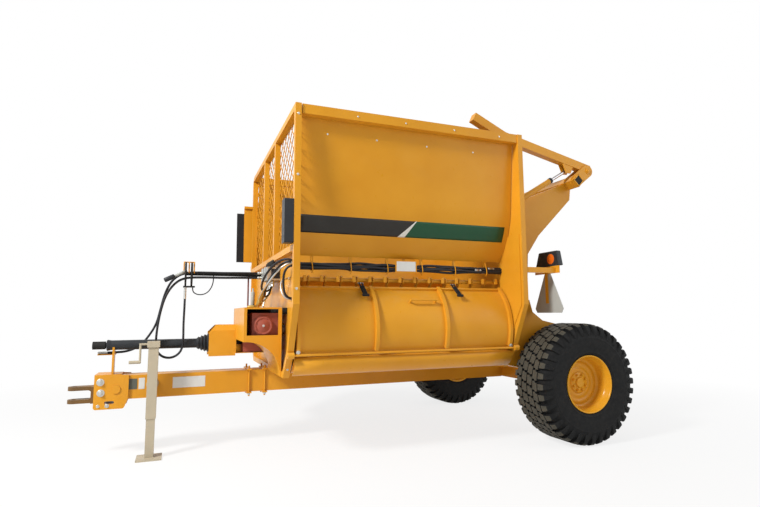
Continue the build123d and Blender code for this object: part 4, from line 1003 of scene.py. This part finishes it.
valveLook = {
    "sections": 5, "gap": 0.007, "stagger": 0.008,
    # columns: radius, distance along the axis
    "coil": metres([(19, -2), (19, 46), (16, 50), (8, 51), (8, 64), (5, 66)]),
    "coilSides": 20,
    "fitting": metres([(13, -3), (13, 10), (16, 11), (16, 24), (11, 27), (11, 46)]),
    "fittingSides": 12,
    "sleeve": metres([(12.8, -2), (12.8, 36), (10.8, 39)]),
    "sleeveSides": 16, "sleevePitch": (0.022, -0.022),
    # the bar behind the sections: its middle from the rear face, depth, height
    "bar": (0.045, 0.08, 0.09),
    # columns: finish number, radius, places from end to end, ahead of the axle, to the left and up
    "lines": [
        (0, 0.008, metres([
            (2725, 116, 1472), (2725, 116, 1400), (2740, 120, 1340), (2800, 150, 1310), (2842, 170, 1262)])),
        (0, 0.008, metres([(2725, 188, 1472), (2728, 188, 1390), (2770, 215, 1345), (2785, 240, 1262)])),
        (0, 0.008, metres([
            (2725, 260, 1472), (2730, 270, 1400), (2780, 330, 1330), (2850, 480, 1300), (2880, 660, 1350),
            (2850, 820, 1440), (2780, 920, 1560), (2710, 955, 1620), (2662, 955, 1625)])),
        (1, 0.0095, metres([
            (2725, 332, 1472), (2735, 345, 1400), (2790, 450, 1350), (2840, 620, 1370), (2835, 800, 1470),
            (2780, 960, 1600), (2710, 1010, 1640), (2662, 1010, 1625)])),
        (1, 0.0095, metres([
            (2725, 404, 1472), (2750, 415, 1415), (2830, 520, 1400), (2875, 680, 1440), (2860, 850, 1540),
            (2790, 1000, 1640), (2715, 1065, 1655), (2662, 1065, 1625)])),
        (1, 0.0095, metres([
            (2662, 1105, 1590), (2720, 1100, 1595), (2755, 1080, 1540), (2752, 1060, 1450), (2745, 1055, 1370),
            (2715, 1055, 1330), (2662, 1055, 1325)])),
        (0, 0.008, metres([
            (2662, 900, 1500), (2735, 905, 1500), (2755, 950, 1430), (2750, 1000, 1370), (2720, 1005, 1325),
            (2662, 1005, 1325)])),
    ],
    "lineFinishes": [(zincSteel, "grey_steel"), (hoseRubber, "black_rubber")],
    "nutShare": 1.7, "nutHeight": 0.018,
    # columns: place ahead, left and up, direction, finish number, turned outline
    "turned": [
        ((2.855, 0.4, 1.266), (-0.32, 0.0, 0.95), 2, metres([
            (13, -6), (13, 18), (24, 20), (24, 120), (18, 126), (18, 140), (12, 142), (12, 176)])),
        ((2.93, 0.25, 1.276), (-1, 0, 0), 2, metres([
            (9, 0), (9, 14), (14, 15), (14, 92), (10, 94), (10, 112)])),
        ((2.91, 0.13, 1.258), (0, 0, 1), 3, metres([(14, 0), (14, 10), (7.5, 12), (7.5, 308)])),
        ((2.876, 0.215, 1.258), (0, 0, 1), 4, metres([(17, 0), (17, 150), (13, 158), (8, 160), (8, 190)])),
    ],
    "turnedSides": 20, "soften": 0.0016,
}


def buildValves(look):
    low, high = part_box("valve_block")
    (x, midY, z), (deep, wide, tall) = middleAndSize("valve_block")
    shape = bmesh.new()
    pitch = wide / look["sections"]
    for index in range(look["sections"]):
        y = low[1] + (index + 0.5) * pitch
        shrink = 0.0 if index % 2 else look["stagger"]
        addSlab(shape, (x - shrink / 2, y, z), (deep - shrink, pitch - look["gap"], tall - shrink))
        addRound(shape, (x, y, high[2]), (0, 0, 1), look["coil"], look["coilSides"], 1)
        addRound(shape, (x, y, low[2]), (0, 0, -1), look["fitting"], look["fittingSides"])
    back, barDeep, barTall = look["bar"]
    addSlab(shape, (low[0] + back, midY, z), (barDeep, wide, barTall), 1)
    for side in look["sleevePitch"]:
        for up in look["sleevePitch"]:
            spot = (high[0], supportY + side, supportZ + up)
            addRound(shape, spot, (1, 0, 0), look["sleeve"], look["sleeveSides"])
    for finish, radius, route in look["lines"]:
        for end, near in ((0, 1), (-1, -2)):
            way = Vector(route[near]) - Vector(route[end])
            addHex(shape, ahead(*route[end]), way, radius * look["nutShare"], look["nutHeight"])
    for place, direction, finish, outline in look["turned"]:
        addRound(shape, ahead(*place), direction, outline, look["turnedSides"], finish)
    finishes = (zincSteel, darkSteelAndPaintedShade, goldZinc, oxideRed, greyEnamel)
    meshPiece("valveBlock", shape, "grey_steel", *finishes, soften=look["soften"], segments=1,
              replaced="valve_block")
    for number, (finish, radius, route) in enumerate(look["lines"]):
        material, slot = look["lineFinishes"][finish]
        curvePiece(f"valveLine{number}", [[ahead(*place) for place in route]], radius, slot, material)


# bolted cover of the gear case, and near-black fillers behind the shield's window: painted shade under the
# shield's roof

gearLook = {
    "middle": (2.86, 1.11),
    # columns: radius, distance outward
    "rings": metres([(74, -4), (74, 3), (70, 5), (64, 5), (60, 2), (50, 2), (46, 5), (24, 6), (18, 9), (0, 9)]),
    "sides": 40,
    # columns: distance outward, size, height
    "centreBolt": (0.008, 0.011, 0.006),
    "bolt": (0.004, 0.006, 0.005), "bolts": 8, "boltCircle": 0.066,
    # from the shield's middle, right side and top
    "sideFill": (-0.024, 0.018, -0.026),
    "sideFillSize": (0.348, 0.004, 0.044),
    # from the shield's rear, the machine's middle and the shield's top
    "rearFill": (-0.044, 0.39, -0.03),
    "rearFillSize": (0.006, 0.78, 0.056),
}


def buildGear(look):
    hit, normal = sideFace("gearbox", *look["middle"])
    shape = bmesh.new()
    addRound(shape, hit, (0, 1, 0), look["rings"], look["sides"])
    lift, size, height = look["centreBolt"]
    addHex(shape, hit + Vector((0, lift, 0)), (0, 1, 0), size, height, material=1)
    lift, size, height = look["bolt"]
    for index in range(look["bolts"]):
        turn = 2 * math.pi * (index + 0.5) / look["bolts"]
        spot = Vector((look["boltCircle"] * math.cos(turn), lift, look["boltCircle"] * math.sin(turn)))
        addHex(shape, hit + spot, (0, 1, 0), size, height)
    low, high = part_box("gearbox_shield")
    # two near-black slabs paint the shade inside the shield
    x, y, z = look["sideFill"]
    addSlab(shape, ((low[0] + high[0]) / 2 + x, low[1] + y, high[2] + z), look["sideFillSize"], 2)
    x, y, z = look["rearFill"]
    addSlab(shape, (low[0] + x, y, high[2] + z), look["rearFillSize"], 2)
    meshPiece("gearCover", shape, "gear_red", gearEnamel, zincSteel, darkSteelAndPaintedShade)


buildValves(valveLook)
buildGear(gearLook)
print("valves and gear cover built")


# loader ends: open tube ends with near-black floors as painted shade inside, heads on the pins, gland rings on
# the fold cylinders

loaderLook = {
    # places: distance ahead, height
    "tip": (-0.37, 2.59),
    "tipOut": 1.0, "lean": 45.0, "tubeHalf": 0.05, "wall": 0.01, "rimDeep": 0.014, "floorDeep": 0.006,
    "floorSink": 0.002, "soften": 0.0015, "heel": (-0.54, 2.72),
    # columns: distance out, direction
    "heelEnds": [(0.958, 1), (0.842, -1)],
    # columns: size, height, stud, washer
    "heelBolt": (0.026, 0.012, 0.012, 0.034),
    "base": (0.33, 2.34), "baseOut": 0.934, "baseBolt": (0.014, 0.01, 0.0, 0.022), "eye": (-0.3, 2.715),
    # columns: radius, distance along the cylinder
    "gland": metres([(24, -4), (30.5, -3), (30.5, 26), (27, 30), (19, 31)]),
    "glandAt": 0.462, "glandOut": 0.9, "glandSides": 28,
}


def buildTubeEnds(look):
    lean = Matrix.Rotation(math.radians(look["lean"]), 3, "Y")
    half, wall, deep = look["tubeHalf"], look["wall"], look["rimDeep"]
    inner = 2 * (half - wall)
    slabs = []
    for side in (1, -1):
        centre = ahead(look["tip"][0], side * look["tipOut"], look["tip"][1])
        sunk = centre - Vector((0, side * look["floorSink"], 0))
        # a near-black floor just inside each tube end: painted shade in the open tube
        slabs.append((sunk, (inner, look["floorDeep"], inner), 1, lean))
        for shift in (half - wall / 2, wall / 2 - half):
            slabs.append((centre + lean @ Vector((0, 0, shift)), (2 * half, deep, wall), 0, lean))
            slabs.append((centre + lean @ Vector((shift, 0, 0)), (wall, deep, 2 * half), 0, lean))
    slabPiece("tubeEnds", slabs, "body_paint", [bodyPaint, darkSteelAndPaintedShade], look["soften"], "lift")


def buildPinHeads(look):
    shape = bmesh.new()
    for side in (1, -1):
        x, z = look["heel"]
        for out, way in look["heelEnds"]:
            addHex(shape, ahead(x, side * out, z), (0, side * way, 0), *look["heelBolt"])
        x, z = look["base"]
        addHex(shape, ahead(x, side * look["baseOut"], z), (0, side, 0), *look["baseBolt"])
    meshPiece("loaderPins", shape, "body_paint", bodyPaint, body="lift")


def buildGlands(look):
    (baseX, baseZ), (eyeX, eyeZ) = look["base"], look["eye"]
    along = Vector((eyeX - baseX, 0, eyeZ - baseZ)).normalized()
    for side, name in ((1, "left"), (-1, "right")):
        shape = bmesh.new()
        place = ahead(baseX, side * look["glandOut"], baseZ) + along * look["glandAt"]
        addRound(shape, place, along, look["gland"], look["glandSides"])
        body = f"fold_barrel_{name}"
        meshPiece(f"gland{name.capitalize()}", shape, "cylinder_black", blackPlastic, body=body)


buildTubeEnds(loaderLook)
buildPinHeads(loaderLook)
buildGlands(loaderLook)
print("loader ends built")


# hose comb on the support with a spare coupler in it

combLook = {
    "bars": (3.4, 3.444, 3.488),
    # columns: side from the support rod, height from it
    "bar": [(-0.03, 0.01), (-0.03, 0.11), (0.03, 0.11), (0.03, 0.01)],
    "ridge": 0.112, "wire": 0.0055,
    # places: distance ahead, height
    "coupler": [(3.48, 1.596), (3.65, 1.512)],
    "couplerOut": 0.055,
    # columns: radius, distance along the coupler
    "stem": metres([(12, -20), (12, 80), (10, 82), (10, 100)]),
    "grip": metres([(19, 96), (21, 100), (21, 180), (18, 188), (6, 190)]),
    "sides": 20,
}


def buildComb(look):
    bars = look["bars"]
    routes = [[ahead(x, supportY + y, supportZ + z) for y, z in look["bar"]] for x in bars]
    routes.append([ahead(x, supportY, supportZ + look["ridge"]) for x in (bars[0], bars[-1])])
    curvePiece("hoseComb", routes, look["wire"], "body_paint", bodyPaint, 2)
    start, end = [ahead(x, supportY + look["couplerOut"], z) for x, z in look["coupler"]]
    shape = bmesh.new()
    for finish, outline in enumerate((look["stem"], look["grip"])):
        addRound(shape, start, end - start, outline, look["sides"], finish)
    meshPiece("spareCoupler", shape, "black_plastic", greyEnamel, blackPlastic)


buildComb(combLook)
print("comb set")


# rounded lip of the rotor pan below the door

lipLook = {
    # columns: distance to the left, height
    "profile": metres([
        (1026, 860), (1034, 858), (1044, 852), (1053, 842), (1058, 828), (1058, 812), (1053, 794), (1043, 775),
        (1027, 756), (1006, 738), (982, 722), (956, 709)]),
    "sheet": 0.004, "steps": 8,
}


def buildLip(look):
    low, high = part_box("rotor_pan")
    stops = [low[0] + (high[0] - low[0]) * step / look["steps"] for step in range(look["steps"] + 1)]
    shape = bmesh.new()
    lines = [[shape.verts.new((x, y, z)) for y, z in look["profile"]] for x in stops]
    for here, after in zip(lines, lines[1:]):
        for row in range(len(here) - 1):
            shape.faces.new((here[row], after[row], after[row + 1], here[row + 1])).smooth = True
    meshPiece("panLip", shape, "body_paint", bodyPaint, sheet=look["sheet"])


# sleeves and nuts at the wall hoses' rear ends

sleeveLook = {
    # columns: distance ahead of the axle, to the left, height
    "places": metres([(640, 910, 1602), (690, 919, 1628), (760, 912, 1590), (840, 921, 1612)]),
    "way": (1, 0.02, 0),
    # columns: radius, distance along the hose
    "outline": metres([(12.5, 0), (12.5, 50), (10.5, 52)]),
    "sides": 16,
    # columns: size, height, stud
    "nut": (0.014, 0.016, 0.007),
}


def buildSleeves(look):
    shape = bmesh.new()
    for place in look["places"]:
        addRound(shape, ahead(*place), look["way"], look["outline"], look["sides"])
        addHex(shape, ahead(*place), (-1, 0, 0), *look["nut"])
    meshPiece("hoseSleeves", shape, "grey_steel", bareSteel)


buildLip(lipLook)
buildSleeves(sleeveLook)
print("pan lip and sleeves built")
